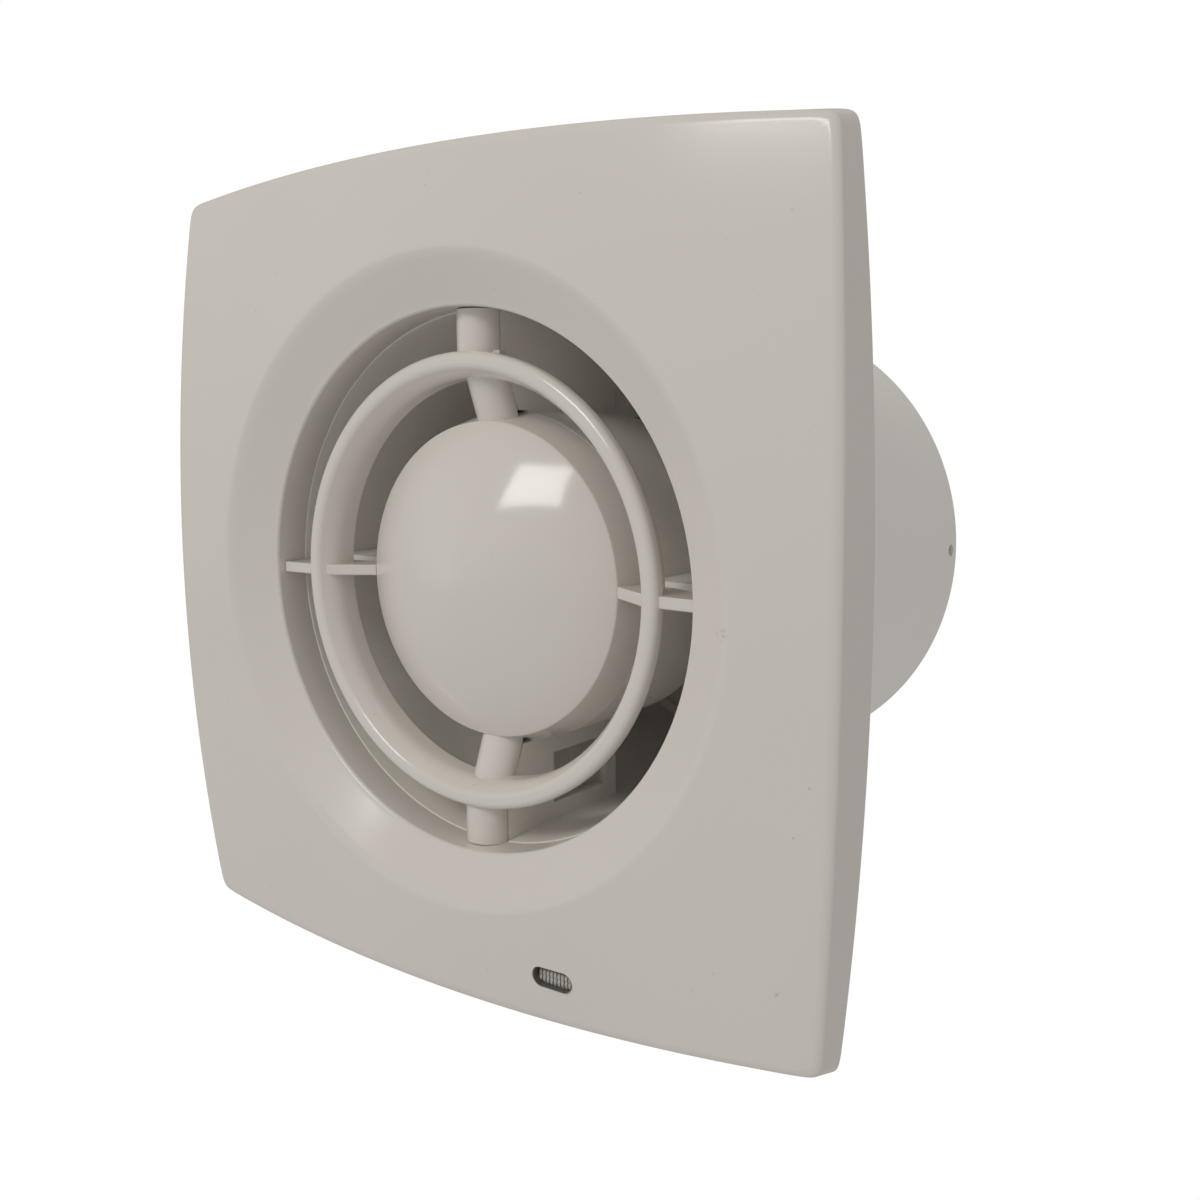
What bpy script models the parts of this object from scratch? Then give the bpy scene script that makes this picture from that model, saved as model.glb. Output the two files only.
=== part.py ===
"""Bathroom extractor fan for a 100 mm duct.

Frame: the origin is on the duct's axis in the plane of the wall. +X is to the
right, +Y goes into the wall along the duct and +Z is up. The room is at -Y.
Sizes are in millimetres and are turned into metres when a mesh is made.
"""

import math

import bmesh
import bpy
from mathutils import Matrix, Vector

MM = 0.001
GAP = 0.3

# Front cover
COVER_HALF = 71.05
COVER_BULGE = 4.0
COVER_FRONT_HALF = 70.3
COVER_FRONT_BULGE = 3.6
COVER_WALL = 1.8
FACE_CROWN = 13.16
FACE_FALL = 0.00083
BEVEL_INSET = 2.0
CORNER_POWER = 84.0
DISH_OUTER_R = 56.8
LIP_R = 47.9
LIP_Y = -5.75
THROAT_R = 47.5
THROAT_WALL = 1.6
THROAT_END_Y = 1.0

# Screw at the cover's bottom edge
SCREW_Y = -3.6
SCREW_HEAD_Z = -74.5
SCREW_SINK_R = 2.6

# Indicator lamp
LENS_X = 22.4
LENS_Z = -65.0
LENS_LENGTH = 8.3
LENS_HEIGHT = 3.6
LENS_INSET = 1.4
LAMP_Y = -4.0
LAMP_R = 1.7

# Inlet grille
BEAD_R = 38.7
BEAD_RADIUS = 1.9
BEAD_Y = -2.7
SLEEVE_INNER_R = 35.6
SLEEVE_OUTER_R = 37.0
SLEEVE_END_Y = 3.4
ARM_RADIUS = 4.2
ARM_WALL = 1.2
ARM_OUTER_Y = 1.3
ARM_INNER_RING_Y = 3.3
ARM_INNER_NOSE_Y = 6.0
ARM_END_R = 46.85
FIN_END_R = 47.1
FIN_THICKNESS = 2.0
FIN_FRONT_Y = -3.8
FIN_NOSE_Y = 2.1
FIN_DEPTH = 5.0

# Nose cap
NOSE_R = 28.1
NOSE_CREASE_Y = 2.0
NOSE_HEIGHT = 10.5
NOSE_SKIRT_R = 29.8
NOSE_END_Y = 8.4
NOSE_WALL = 1.5

# Rear casing
SPIGOT_R = 49.25
BORE_R = 46.75
SPIGOT_END_Y = 98.5
PLATE_HALF = 67.6
PLATE_BULGE = 3.4
PLATE_THICKNESS = 2.0
RECESS_R = 49.45
SHOULDER_R = 51.2
SHOULDER_Y = 4.4
BORE_START_Y = 1.35
SEAT_R = 45.2
SEAT_FRONT_Y = 90.6
SEAT_REAR_Y = 92.6
WALL_SLOT_REACH = 61.0
WALL_SLOT_R = 2.3

# Motor support
CUP_R = 30.0
CUP_INNER_R = 28.2
CUP_START_Y = 8.8
CUP_END_Y = 35.0
CUP_FLOOR = 2.0
CUP_HOLE_R = 7.6
CHANNEL_HALF = 4.2
CHANNEL_WALL = 1.4
RIB_THICKNESS = 3.0
RIB_START_Y = 9.0
WINDOW_START_Y = 15.0
WINDOW_END_Y = 31.5
WINDOW_TOP_Z = -33.6
WINDOW_BOTTOM_Z = -43.3
MOUTH_R = 46.3

# Motor
STATOR_R = 26.0
STATOR_YOKE_R = 20.8
POLE_TIP_R = 12.5
POLE_SHOE_R = 15.0
POLE_NECK_HALF = 3.4
POLE_SHOE_ANGLE = math.radians(34.0)
STATOR_START_Y = 14.0
STATOR_END_Y = 26.0
COIL_NEAR = 15.4
COIL_FAR = 19.1
COIL_HALF_WIDTH = 7.3
COIL_OVERHANG = 2.6
COIL_HOLE_CLEARANCE = 0.4
ROTOR_R = 12.0
SHAFT_R = 2.0
SHAFT_CLEARANCE = 0.06
SHAFT_START_Y = 5.6
SHAFT_END_Y = 63.4
BUSH_R = 4.5
BOSS_R = 6.6
BRACKET_HALF_WIDTH = 5.0
BRACKET_THICKNESS = 1.6
FRONT_BRACKET_Y = 9.4
REAR_BRACKET_Y = 31.0
TIE_R = 23.3
TIE_SCREW_R = 1.4
TIE_HOLE_R = 1.75
TIE_HEAD_R = 2.7

# Impeller
HUB_R = 29.6
HUB_INNER_R = 27.8
HUB_START_Y = 36.2
HUB_END_Y = 62.0
HUB_FLOOR = 2.0
HUB_BOSS_R = 5.0
BLADE_TIP_R = 45.2
BLADE_COUNT = 7
BLADE_START_Y = 39.0
BLADE_END_Y = 57.0
BLADE_ROOT_SWEEP = math.radians(40.0)
BLADE_TIP_SWEEP = math.radians(34.0)
BLADE_TIP_LEAD = math.radians(9.0)
BLADE_THICKNESS = 1.5
BLADE_PHASE = math.radians(-84.0)

# Back-draught shutter
PIN_Y = 95.0
PIN_R = 1.0
PIN_HALF = 48.6
PIN_HOLE_R = 1.25
KNUCKLE_R = 2.1
KNUCKLE_BORE_R = 1.08
FLAP_R = 46.1
FLAP_THICKNESS = 1.2
FLAP_FRONT_Y = 93.1
FLAP_EDGE_Z = 2.5
SPRING_HALF = 7.0
SPRING_R = 1.9
SPRING_BORE_R = 1.35

# Terminal block, cable entry and leads
BLOCK_R = 74.0
BLOCK_LENGTH = 25.0
BLOCK_WIDTH = 11.0
BLOCK_FRONT_Y = -5.7
TERMINAL_PITCH = 7.6
GROMMET_X = 60.5
GROMMET_Z = -23.0
GROMMET_R = 5.6
CLAMP_X = 60.5
CLAMP_Z = -35.0
LEAD_R = 0.6
LEAD_X = 0.9
LEAD_WAY_HALF = 1.9

ROUND = 48
SMALL = 24
TINY = 16

COLOURS = {
    "cover_plastic": ((0.80, 0.77, 0.72), 0.28, 0.0),
    "casing_plastic": ((0.74, 0.71, 0.66), 0.40, 0.0),
    "impeller_plastic": ((0.70, 0.68, 0.63), 0.42, 0.0),
    "flap_plastic": ((0.76, 0.74, 0.70), 0.45, 0.0),
    "steel": ((0.62, 0.62, 0.64), 0.30, 1.0),
    "laminations": ((0.30, 0.31, 0.34), 0.45, 1.0),
    "copper": ((0.72, 0.36, 0.18), 0.35, 1.0),
    "rotor_metal": ((0.60, 0.61, 0.63), 0.40, 1.0),
    "bronze": ((0.66, 0.48, 0.25), 0.45, 1.0),
    "zinc_screw": ((0.72, 0.70, 0.62), 0.35, 1.0),
    "clear_lens": ((0.85, 0.84, 0.80), 0.12, 0.0),
    "neon_glass": ((0.95, 0.55, 0.35), 0.10, 0.0),
    "terminal_plastic": ((0.86, 0.85, 0.80), 0.45, 0.0),
    "grommet_rubber": ((0.06, 0.06, 0.06), 0.80, 0.0),
    "brown_lead": ((0.30, 0.14, 0.06), 0.50, 0.0),
    "blue_lead": ((0.06, 0.16, 0.42), 0.50, 0.0),
}


# ---------------------------------------------------------------- tools

def clear_scene():
    for obj in list(bpy.data.objects):
        bpy.data.objects.remove(obj, do_unlink=True)


def material(name):
    found = bpy.data.materials.get(name)
    if found:
        return found
    colour, roughness, metallic = COLOURS[name]
    made = bpy.data.materials.new(name)
    made.use_nodes = True
    shader = made.node_tree.nodes["Principled BSDF"]
    shader.inputs["Base Color"].default_value = (*colour, 1.0)
    shader.inputs["Roughness"].default_value = roughness
    shader.inputs["Metallic"].default_value = metallic
    return made


def add_object(name, mesh, material_name, parent=None):
    obj = bpy.data.objects.new(name, mesh)
    bpy.context.scene.collection.objects.link(obj)
    if material_name:
        mesh.materials.append(material(material_name))
    mesh.shade_smooth()
    mesh.set_sharp_from_angle(angle=math.radians(32.0))
    if parent:
        place_under(obj, parent)
    return obj


def place_under(obj, parent):
    """Parents an object and moves its origin onto the parent's, with the shape left where it is."""
    obj.data.transform(Matrix.Translation(-parent.location))
    obj.parent = parent


def joint_empty(name, x, y, z):
    empty = bpy.data.objects.new(name, None)
    empty.location = (x * MM, y * MM, z * MM)
    empty.empty_display_size = 0.01
    bpy.context.scene.collection.objects.link(empty)
    return empty


def mesh_from(name, points, faces):
    """A mesh from points in millimetres, with its faces turned outwards."""
    mesh = bpy.data.meshes.new(name)
    build = bmesh.new()
    corners = [build.verts.new(Vector(point) * MM) for point in points]
    for face in faces:
        build.faces.new([corners[index] for index in face])
    bmesh.ops.recalc_face_normals(build, faces=build.faces)
    build.to_mesh(mesh)
    build.free()
    return mesh


def loft(name, rings, material_name, closed=True, parent=None):
    """A solid skinned over rings of equally many points; closed joins the last ring to the first."""
    count = len(rings[0])
    points = [point for ring in rings for point in ring]
    faces = []
    for i in range(len(rings) if closed else len(rings) - 1):
        low = i * count
        high = ((i + 1) % len(rings)) * count
        for j in range(count):
            k = (j + 1) % count
            faces.append((low + j, low + k, high + k, high + j))
    if not closed:
        faces.append(tuple(range(count)))
        faces.append(tuple(range(len(points) - count, len(points))))
    return add_object(name, mesh_from(name, points, faces), material_name, parent)


def circle(radius, y, segments, x=0.0, z=0.0):
    ring = []
    for i in range(segments):
        angle = 2.0 * math.pi * i / segments
        ring.append((x + radius * math.cos(angle), y, z + radius * math.sin(angle)))
    return ring


def tube(name, profile, segments, material_name, x=0.0, z=0.0, parent=None):
    """A turned ring about an axis along Y; profile is a closed outline of (radius, y)."""
    rings = [circle(radius, y, segments, x, z) for radius, y in profile]
    return loft(name, rings, material_name, True, parent)


def turned(name, profile, segments, material_name, x=0.0, z=0.0, parent=None):
    """A turned solid about an axis along Y, with flat ends; profile runs along Y."""
    rings = [circle(radius, y, segments, x, z) for radius, y in profile]
    return loft(name, rings, material_name, False, parent)


def upright_turned(name, profile, material_name=None):
    """A turned solid for the cover's screw, about its upright axis; profile is a list of (radius, z)."""
    rings = []
    for radius, z in profile:
        ring = circle(radius, 0.0, TINY)
        rings.append([(x, SCREW_Y + y, z) for x, _, y in ring])
    return loft(name, rings, material_name, False)


def rod(name, start, end, radius, segments, material_name, parent=None):
    """A round bar between two points."""
    start, end = Vector(start), Vector(end)
    turn = (end - start).to_track_quat("Z", "Y")
    rings = []
    for centre in (start, end):
        ring = []
        for i in range(segments):
            angle = 2.0 * math.pi * i / segments
            offset = Vector((radius * math.cos(angle), radius * math.sin(angle), 0.0))
            ring.append(tuple(centre + turn @ offset))
        rings.append(ring)
    return loft(name, rings, material_name, False, parent)


def block(name, low, high, material_name=None, parent=None):
    """A box between two corners."""
    ring = [(low[0], low[2]), (high[0], low[2]), (high[0], high[2]), (low[0], high[2])]
    rings = [[(x, y, z) for x, z in ring] for y in (low[1], high[1])]
    return loft(name, rings, material_name, False, parent)


def prism(name, outline, y_start, y_end, material_name=None, parent=None):
    """A flat outline of (x, z) points drawn out along Y."""
    rings = [[(x, y, z) for x, z in outline] for y in (y_start, y_end)]
    return loft(name, rings, material_name, False, parent)


def turn_about_y(obj, angle):
    obj.data.transform(Matrix.Rotation(-angle, 4, "Y"))


def helper(obj):
    """Marks an object as a cutter or an added shape, which isn't a piece of its own."""
    obj.hide_render = True
    obj.display_type = "WIRE"
    return obj


def combine(target, others, operation):
    for other in others:
        helper(other)
        step = target.modifiers.new(other.name, "BOOLEAN")
        step.operation = operation
        step.solver = "EXACT"
        step.object = other


def join(target, others):
    combine(target, others, "UNION")


def cut(target, others):
    combine(target, others, "DIFFERENCE")


# ---------------------------------------------------------------- outlines

def side_reach(half, bulge, angle):
    """Distance from the centre to a bulged side whose middle lies at angle 0."""
    along, across = math.cos(angle), math.sin(angle)
    if along <= 0.01:
        return 1.0e6
    curve = bulge * across * across / (half * half)
    if curve < 1.0e-9:
        return (half + bulge) / along
    return (-along + math.sqrt(along * along + 4.0 * curve * (half + bulge))) / (2.0 * curve)


def square_reach(half, bulge, angle):
    """Distance from the centre to the outline of a square with bulged sides and soft corners."""
    total = 0.0
    for quarter in range(4):
        reach = side_reach(half, bulge, angle - quarter * math.pi / 2.0)
        total += reach ** -CORNER_POWER
    return total ** (-1.0 / CORNER_POWER)


def plate_angles():
    """Angles that crowd towards the four corners, the same on every ring of a plate."""
    half_side = [0.0, 9.0, 18.0, 27.0, 36.0, 42.0, 44.2]
    eighth = half_side + [45.0] + [90.0 - a for a in reversed(half_side[1:])]
    return [math.radians(90.0 * quarter + a) for quarter in range(4) for a in eighth]


def plate_ring(half, bulge, y, inset=0.0):
    """A ring round the square outline; y is a number or a function of (x, z)."""
    ring = []
    for angle in plate_angles():
        reach = square_reach(half, bulge, angle) - inset
        ring.append(ring_point(reach, angle, y))
    return ring


def ring_point(reach, angle, y):
    x, z = reach * math.cos(angle), reach * math.sin(angle)
    return (x, y(x, z) if callable(y) else y, z)


def plate_circle(radius, y):
    return [ring_point(radius, angle, y) for angle in plate_angles()]


def face_ring(share, y):
    """A ring of the front face, a share of the way from the dish's edge to the bevel."""
    ring = []
    for angle in plate_angles():
        far = square_reach(COVER_FRONT_HALF, COVER_FRONT_BULGE, angle) - BEVEL_INSET
        ring.append(ring_point(DISH_OUTER_R + share * (far - DISH_OUTER_R), angle, y))
    return ring


def face_y(x, z):
    """The crowned front face: it stands furthest into the room near the dish."""
    return -(FACE_CROWN - FACE_FALL * (x * x + z * z))


def below_face(drop):
    return lambda x, z: face_y(x, z) + drop


def stadium(x, z, length, height, segments=8):
    """The outline of a slot with round ends, as (x, z) points."""
    radius = height / 2.0
    reach = length / 2.0 - radius
    outline = []
    for side, first in ((1.0, -math.pi / 2.0), (-1.0, math.pi / 2.0)):
        for i in range(segments + 1):
            angle = first + math.pi * i / segments
            outline.append((x + side * reach + radius * math.cos(angle), z + radius * math.sin(angle)))
    return outline


def on_diagonal(reach, across, quarter=-1):
    """The (x, z) of a point along a diagonal; quarter -1 is lower right, 0 upper right."""
    angle = math.radians(45.0 + 90.0 * quarter)
    return (
        reach * math.cos(angle) - across * math.sin(angle),
        reach * math.sin(angle) + across * math.cos(angle),
    )


# ---------------------------------------------------------------- cover

def make_front_cover():
    rings = [
        plate_circle(THROAT_R, THROAT_END_Y),
        plate_circle(THROAT_R, LIP_Y + 1.1),
        plate_circle(THROAT_R + 0.12, LIP_Y + 0.45),
        plate_circle(LIP_R, LIP_Y + 0.1),
        plate_circle(LIP_R + 0.7, LIP_Y - 0.05),
        plate_circle(52.3, -7.75),
        plate_circle(DISH_OUTER_R - 0.5, face_y(DISH_OUTER_R, 0.0) + 0.35),
        plate_circle(DISH_OUTER_R, face_y),
        face_ring(0.4, face_y),
        face_ring(1.0, face_y),
        plate_ring(COVER_FRONT_HALF, COVER_FRONT_BULGE, below_face(0.25), 1.0),
        plate_ring(COVER_FRONT_HALF, COVER_FRONT_BULGE, below_face(0.65), 0.27),
        plate_ring(COVER_FRONT_HALF, COVER_FRONT_BULGE, below_face(1.3)),
        plate_ring(COVER_HALF, COVER_BULGE, 0.0),
        plate_ring(COVER_HALF, COVER_BULGE, 0.0, COVER_WALL),
        plate_ring(COVER_FRONT_HALF, COVER_FRONT_BULGE, below_face(COVER_WALL + 1.0), COVER_WALL),
        face_ring(0.85, below_face(COVER_WALL)),
        plate_circle(DISH_OUTER_R + 0.6, face_y(DISH_OUTER_R, 0.0) + COVER_WALL),
        plate_circle(52.3, -7.75 + COVER_WALL),
        plate_circle(THROAT_R + THROAT_WALL, -3.9),
        plate_circle(THROAT_R + THROAT_WALL, THROAT_END_Y),
    ]
    cover = loft("front_cover", rings, "cover_plastic")
    window = stadium(LENS_X, LENS_Z, LENS_LENGTH, LENS_HEIGHT)
    cutters = [prism("lamp_window", window, -14.0, -5.0)]
    clear = SCREW_SINK_R + GAP
    low = SCREW_HEAD_Z - 1.0
    profile = [(clear, low), (clear, SCREW_HEAD_Z), (1.6, SCREW_HEAD_Z + 1.35), (1.6, SCREW_HEAD_Z + 5.0)]
    cutters.append(upright_turned("cover_screw_hole", profile))
    half = LEAD_WAY_HALF
    cutters.append(block("lead_notch", (-half, -1.6, -THROAT_R - 3.0), (half, 3.0, -THROAT_R + 2.0)))
    cut(cover, cutters)


def make_cover_screw():
    """The countersunk screw that holds the cover to the casing, from below."""
    profile = [(SCREW_SINK_R, SCREW_HEAD_Z), (1.25, SCREW_HEAD_Z + 1.35), (1.25, SCREW_HEAD_Z + 5.8)]
    screw = upright_turned("cover_screw", profile, "zinc_screw")
    low = SCREW_HEAD_Z - 1.0
    slot = block("cover_screw_slot", (-3.0, SCREW_Y - 0.35, low), (3.0, SCREW_Y + 0.35, SCREW_HEAD_Z + 0.5))
    cut(screw, [slot])


def make_lamp():
    face = face_y(LENS_X, LENS_Z)
    outline = stadium(LENS_X, LENS_Z, LENS_LENGTH - 2 * GAP, LENS_HEIGHT - 2 * GAP)
    flange = stadium(LENS_X, LENS_Z, LENS_LENGTH + 2.0, LENS_HEIGHT + 2.0)
    lens = prism("indicator_lens", outline, face + LENS_INSET, face + 3.1, "clear_lens")
    join(lens, [prism("lens_flange", flange, face + COVER_WALL + 0.75, face + 3.1)])
    start, end = (LENS_X - 4.5, LAMP_Y, LENS_Z), (LENS_X + 3.5, LAMP_Y, LENS_Z)
    rod("neon_lamp", start, end, LAMP_R, TINY, "neon_glass")


# ---------------------------------------------------------------- grille

def half_round(name, r_start, r_end, y_start, y_end, sign):
    """One half-round length of an arm, open behind; its seam edge runs from y_start to y_end."""
    steps = 8
    outline = []
    for i in range(steps + 1):
        angle = math.pi * i / steps
        outline.append((ARM_RADIUS * math.cos(angle), -ARM_RADIUS * math.sin(angle)))
    inner = ARM_RADIUS - ARM_WALL
    for i in range(steps + 1):
        angle = math.pi * (steps - i) / steps
        outline.append((inner * math.cos(angle), -inner * math.sin(angle)))
    rings = []
    for reach, seam in ((r_start, y_start), (r_end, y_end)):
        rings.append([(x, seam + y, sign * reach) for x, y in outline])
    return loft(name, rings, None, False)


def fin(name, side):
    """A thin side fin from the nose cap to the throat, which passes under the ring's sleeve."""
    half = FIN_THICKNESS / 2.0
    outline = [
        (FIN_END_R, FIN_FRONT_Y),
        (SLEEVE_OUTER_R, FIN_FRONT_Y + 0.6),
        (SLEEVE_INNER_R, -2.4),
        (NOSE_R + 1.0, FIN_NOSE_Y + 0.3),
        (NOSE_R + 1.0, FIN_NOSE_Y + 0.9),
        (NOSE_R + 2.0, FIN_NOSE_Y + FIN_DEPTH),
        (SLEEVE_INNER_R - 2.0, FIN_NOSE_Y + FIN_DEPTH),
        (SLEEVE_OUTER_R + 1.2, SLEEVE_END_Y + 2.6),
        (FIN_END_R, 0.8),
    ]
    rings = [[(side * r, y, z) for r, y in outline] for z in (-half, half)]
    return loft(name, rings, None, False)


def make_inlet_grille():
    profile = []
    for i in range(9):
        angle = math.radians(-100.0 + 35.0 * i)
        profile.append(
            (BEAD_R + BEAD_RADIUS * math.cos(angle), BEAD_Y + BEAD_RADIUS * math.sin(angle))
        )
    sleeve = [
        (SLEEVE_OUTER_R, -1.2),
        (SLEEVE_OUTER_R, SLEEVE_END_Y),
        (SLEEVE_INNER_R, SLEEVE_END_Y),
        (SLEEVE_INNER_R, -1.0),
        (SLEEVE_INNER_R + 0.5, -3.3),
    ]
    bead = [point for point in profile if point[0] > SLEEVE_OUTER_R + 0.1]
    bead.sort(key=lambda point: math.atan2(point[1] - BEAD_Y, point[0] - BEAD_R))
    grille = tube("inlet_grille", bead + sleeve, 60, "cover_plastic")
    parts = []
    for label, sign in (("top", 1.0), ("bottom", -1.0)):
        parts.append(
            half_round(
                f"arm_{label}_outer", SLEEVE_OUTER_R - 0.6, ARM_END_R,
                ARM_OUTER_Y, ARM_OUTER_Y - 0.3, sign,
            )
        )
        parts.append(
            half_round(
                f"arm_{label}_inner", NOSE_SKIRT_R + 0.1, SLEEVE_INNER_R + 0.7,
                ARM_INNER_NOSE_Y, ARM_INNER_RING_Y, sign,
            )
        )
    parts += [fin("fin_left", -1.0), fin("fin_right", 1.0)]
    join(grille, parts)


def make_nose_cap():
    """A shallow cone with a rounded shoulder and a skirt that widens to the motor support."""
    steps = 6
    profile = []
    for i in range(steps + 1):
        share = i / steps
        radius = max(NOSE_R * share, 0.5)
        lift = NOSE_HEIGHT * (1.0 - 0.62 * share - 0.38 * share ** 3)
        profile.append((radius, NOSE_CREASE_Y - lift))
    outer = profile + [
        (NOSE_R + 0.45, NOSE_CREASE_Y + 0.5),
        (NOSE_R + 0.9, NOSE_CREASE_Y + 2.0),
        (NOSE_SKIRT_R, NOSE_END_Y),
    ]
    inner = [
        (NOSE_SKIRT_R - NOSE_WALL, NOSE_END_Y),
        (NOSE_R - NOSE_WALL + 0.6, NOSE_CREASE_Y + 2.0),
        (NOSE_R - 2.6, NOSE_CREASE_Y + 0.6),
        (14.0, NOSE_CREASE_Y - NOSE_HEIGHT * 0.60 + NOSE_WALL),
        (0.5, NOSE_CREASE_Y - NOSE_HEIGHT + NOSE_WALL + 0.3),
    ]
    turned("nose_cap", outer + inner, ROUND, "cover_plastic")


# ---------------------------------------------------------------- casing

def make_rear_casing():
    rings = [
        plate_circle(RECESS_R, -PLATE_THICKNESS),
        plate_circle(RECESS_R, BORE_START_Y),
        plate_circle(BORE_R, BORE_START_Y),
        plate_circle(BORE_R, SEAT_FRONT_Y - 1.0),
        plate_circle(SEAT_R, SEAT_FRONT_Y),
        plate_circle(SEAT_R, SEAT_REAR_Y),
        plate_circle(BORE_R, SEAT_REAR_Y),
        plate_circle(BORE_R, SPIGOT_END_Y),
        plate_circle(SPIGOT_R - 0.5, SPIGOT_END_Y),
        plate_circle(SPIGOT_R, SPIGOT_END_Y - 0.6),
        plate_circle(SPIGOT_R, SHOULDER_Y + 1.6),
        plate_circle(SHOULDER_R, SHOULDER_Y),
        plate_circle(SHOULDER_R, 0.0),
        plate_ring(PLATE_HALF, PLATE_BULGE, 0.0),
        plate_ring(PLATE_HALF, PLATE_BULGE, -PLATE_THICKNESS),
    ]
    casing = loft("rear_casing", rings, "casing_plastic")
    boss_z = -PLATE_HALF - PLATE_BULGE
    boss = block("screw_boss", (-3.4, -6.2, boss_z + 0.2), (3.4, -1.0, boss_z + 6.0))
    rests = []
    for label, side in (("left", -1.0), ("right", 1.0)):
        low = min(side * 66.0, side * 70.2)
        rests.append(block(f"cover_rest_{label}", (low, -5.0, -6.0), (low + 4.2, -1.0, 6.0)))
    join(casing, [boss] + rests)
    cutters = [
        rod("boss_hole", (0.0, SCREW_Y, boss_z - 3.0), (0.0, SCREW_Y, boss_z + 8.0), 1.5, TINY, None),
        rod("cable_hole", (GROMMET_X, -9.0, GROMMET_Z), (GROMMET_X, 9.0, GROMMET_Z), GROMMET_R - 1.0, SMALL, None),
        rod("pin_holes", (-60.0, PIN_Y, 0.0), (60.0, PIN_Y, 0.0), PIN_HOLE_R, TINY, None),
    ]
    for quarter, label in enumerate(("upper_right", "upper_left", "lower_left")):
        slot = stadium(0.0, 0.0, 9.0, 2.0 * WALL_SLOT_R, 6)
        cutter = prism(f"wall_slot_{label}", slot, -9.0, 9.0)
        x, z = on_diagonal(WALL_SLOT_REACH * math.sqrt(2.0) * 0.94, 0.0, quarter)
        cutter.data.transform(Matrix.Translation((x * MM, 0.0, z * MM)))
        cutters.append(cutter)
    for label, across in (("inner", -9.6), ("outer", 9.6)):
        x, z = on_diagonal(BLOCK_R, across)
        cutters.append(rod(f"block_hole_{label}", (x, -9.0, z), (x, 9.0, z), 1.2, 12, None))
    for label, dx in (("left", -7.0), ("right", 7.0)):
        x = CLAMP_X + dx * 0.93
        cutters.append(rod(f"clamp_hole_{label}", (x, -9.0, CLAMP_Z), (x, 9.0, CLAMP_Z), 1.2, 12, None))
    cutters.append(lead_groove())
    cut(casing, cutters)


def lead_groove():
    """A sloping groove that takes the leads from the front of the plate to the cover's notch."""
    outline = [(-53.6, -3.0), (-53.6, -2.3), (-50.2, 0.15), (-48.0, 0.15), (-48.0, -3.0)]
    rings = [[(x, y, z) for z, y in outline] for x in (-LEAD_WAY_HALF, LEAD_WAY_HALF)]
    return loft("lead_groove", rings, None, False)


def channel(name, sign):
    """A hollow strut from the mouth of the casing to the motor cup."""
    half = CHANNEL_HALF
    outer_z = sign * MOUTH_R
    inner_z = sign * (CUP_R - 1.2)
    cup_z = sign * (CUP_R + 0.15)
    points = [
        (ARM_OUTER_Y + GAP, outer_z),
        (ARM_OUTER_Y + GAP, sign * (SLEEVE_OUTER_R + 0.5)),
        (SLEEVE_END_Y + 2.0 * GAP, sign * (SLEEVE_OUTER_R + 0.4)),
        (SLEEVE_END_Y + 2.0 * GAP, sign * (SLEEVE_INNER_R + GAP)),
        (ARM_INNER_NOSE_Y + GAP, cup_z),
        (CUP_START_Y + 0.1, cup_z),
        (CUP_START_Y + 0.1, inner_z),
        (CUP_END_Y, inner_z),
        (CUP_END_Y, outer_z),
    ]
    rings = [[(x, y, z) for y, z in points] for x in (-half, half)]
    return loft(name, rings, None, False)


def make_motor_support():
    profile = [
        (CUP_R, CUP_START_Y),
        (CUP_R, CUP_END_Y),
        (CUP_HOLE_R, CUP_END_Y),
        (CUP_HOLE_R, CUP_END_Y - CUP_FLOOR),
        (CUP_INNER_R, CUP_END_Y - CUP_FLOOR),
        (CUP_INNER_R, CUP_START_Y),
    ]
    support = tube("motor_support", profile, ROUND, "casing_plastic")
    added = [channel("channel_top", 1.0), channel("channel_bottom", -1.0)]
    half = RIB_THICKNESS / 2.0
    for label, side in (("left", -1.0), ("right", 1.0)):
        ends = sorted((side * (CUP_R - 1.0), side * MOUTH_R))
        added.append(block(f"rib_{label}", (ends[0], RIB_START_Y, -half), (ends[1], CUP_END_Y, half)))
    join(support, added)
    inner = CHANNEL_HALF - CHANNEL_WALL
    hollow_top = block(
        "hollow_top", (-inner, -1.0, CUP_R - 6.0), (inner, CUP_END_Y - 2.0, MOUTH_R - 1.5)
    )
    hollow_bottom = block(
        "hollow_bottom", (-inner, -1.0, -MOUTH_R + 1.5), (inner, CUP_END_Y - 2.0, -CUP_R + 6.0)
    )
    window = block(
        "channel_window",
        (0.0, WINDOW_START_Y, WINDOW_BOTTOM_Z),
        (CHANNEL_HALF + 3.0, WINDOW_END_Y, WINDOW_TOP_Z),
    )
    tie_holes = []
    for label, quarter in (("upper", 0), ("lower", 2)):
        x, z = on_diagonal(TIE_R, 0.0, quarter)
        start, end = (x, 25.0, z), (x, 45.0, z)
        tie_holes.append(rod(f"support_hole_{label}", start, end, TIE_SCREW_R + 0.1, 12, None))
    cut(support, [hollow_top, hollow_bottom, window] + tie_holes)


# ---------------------------------------------------------------- motor

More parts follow.
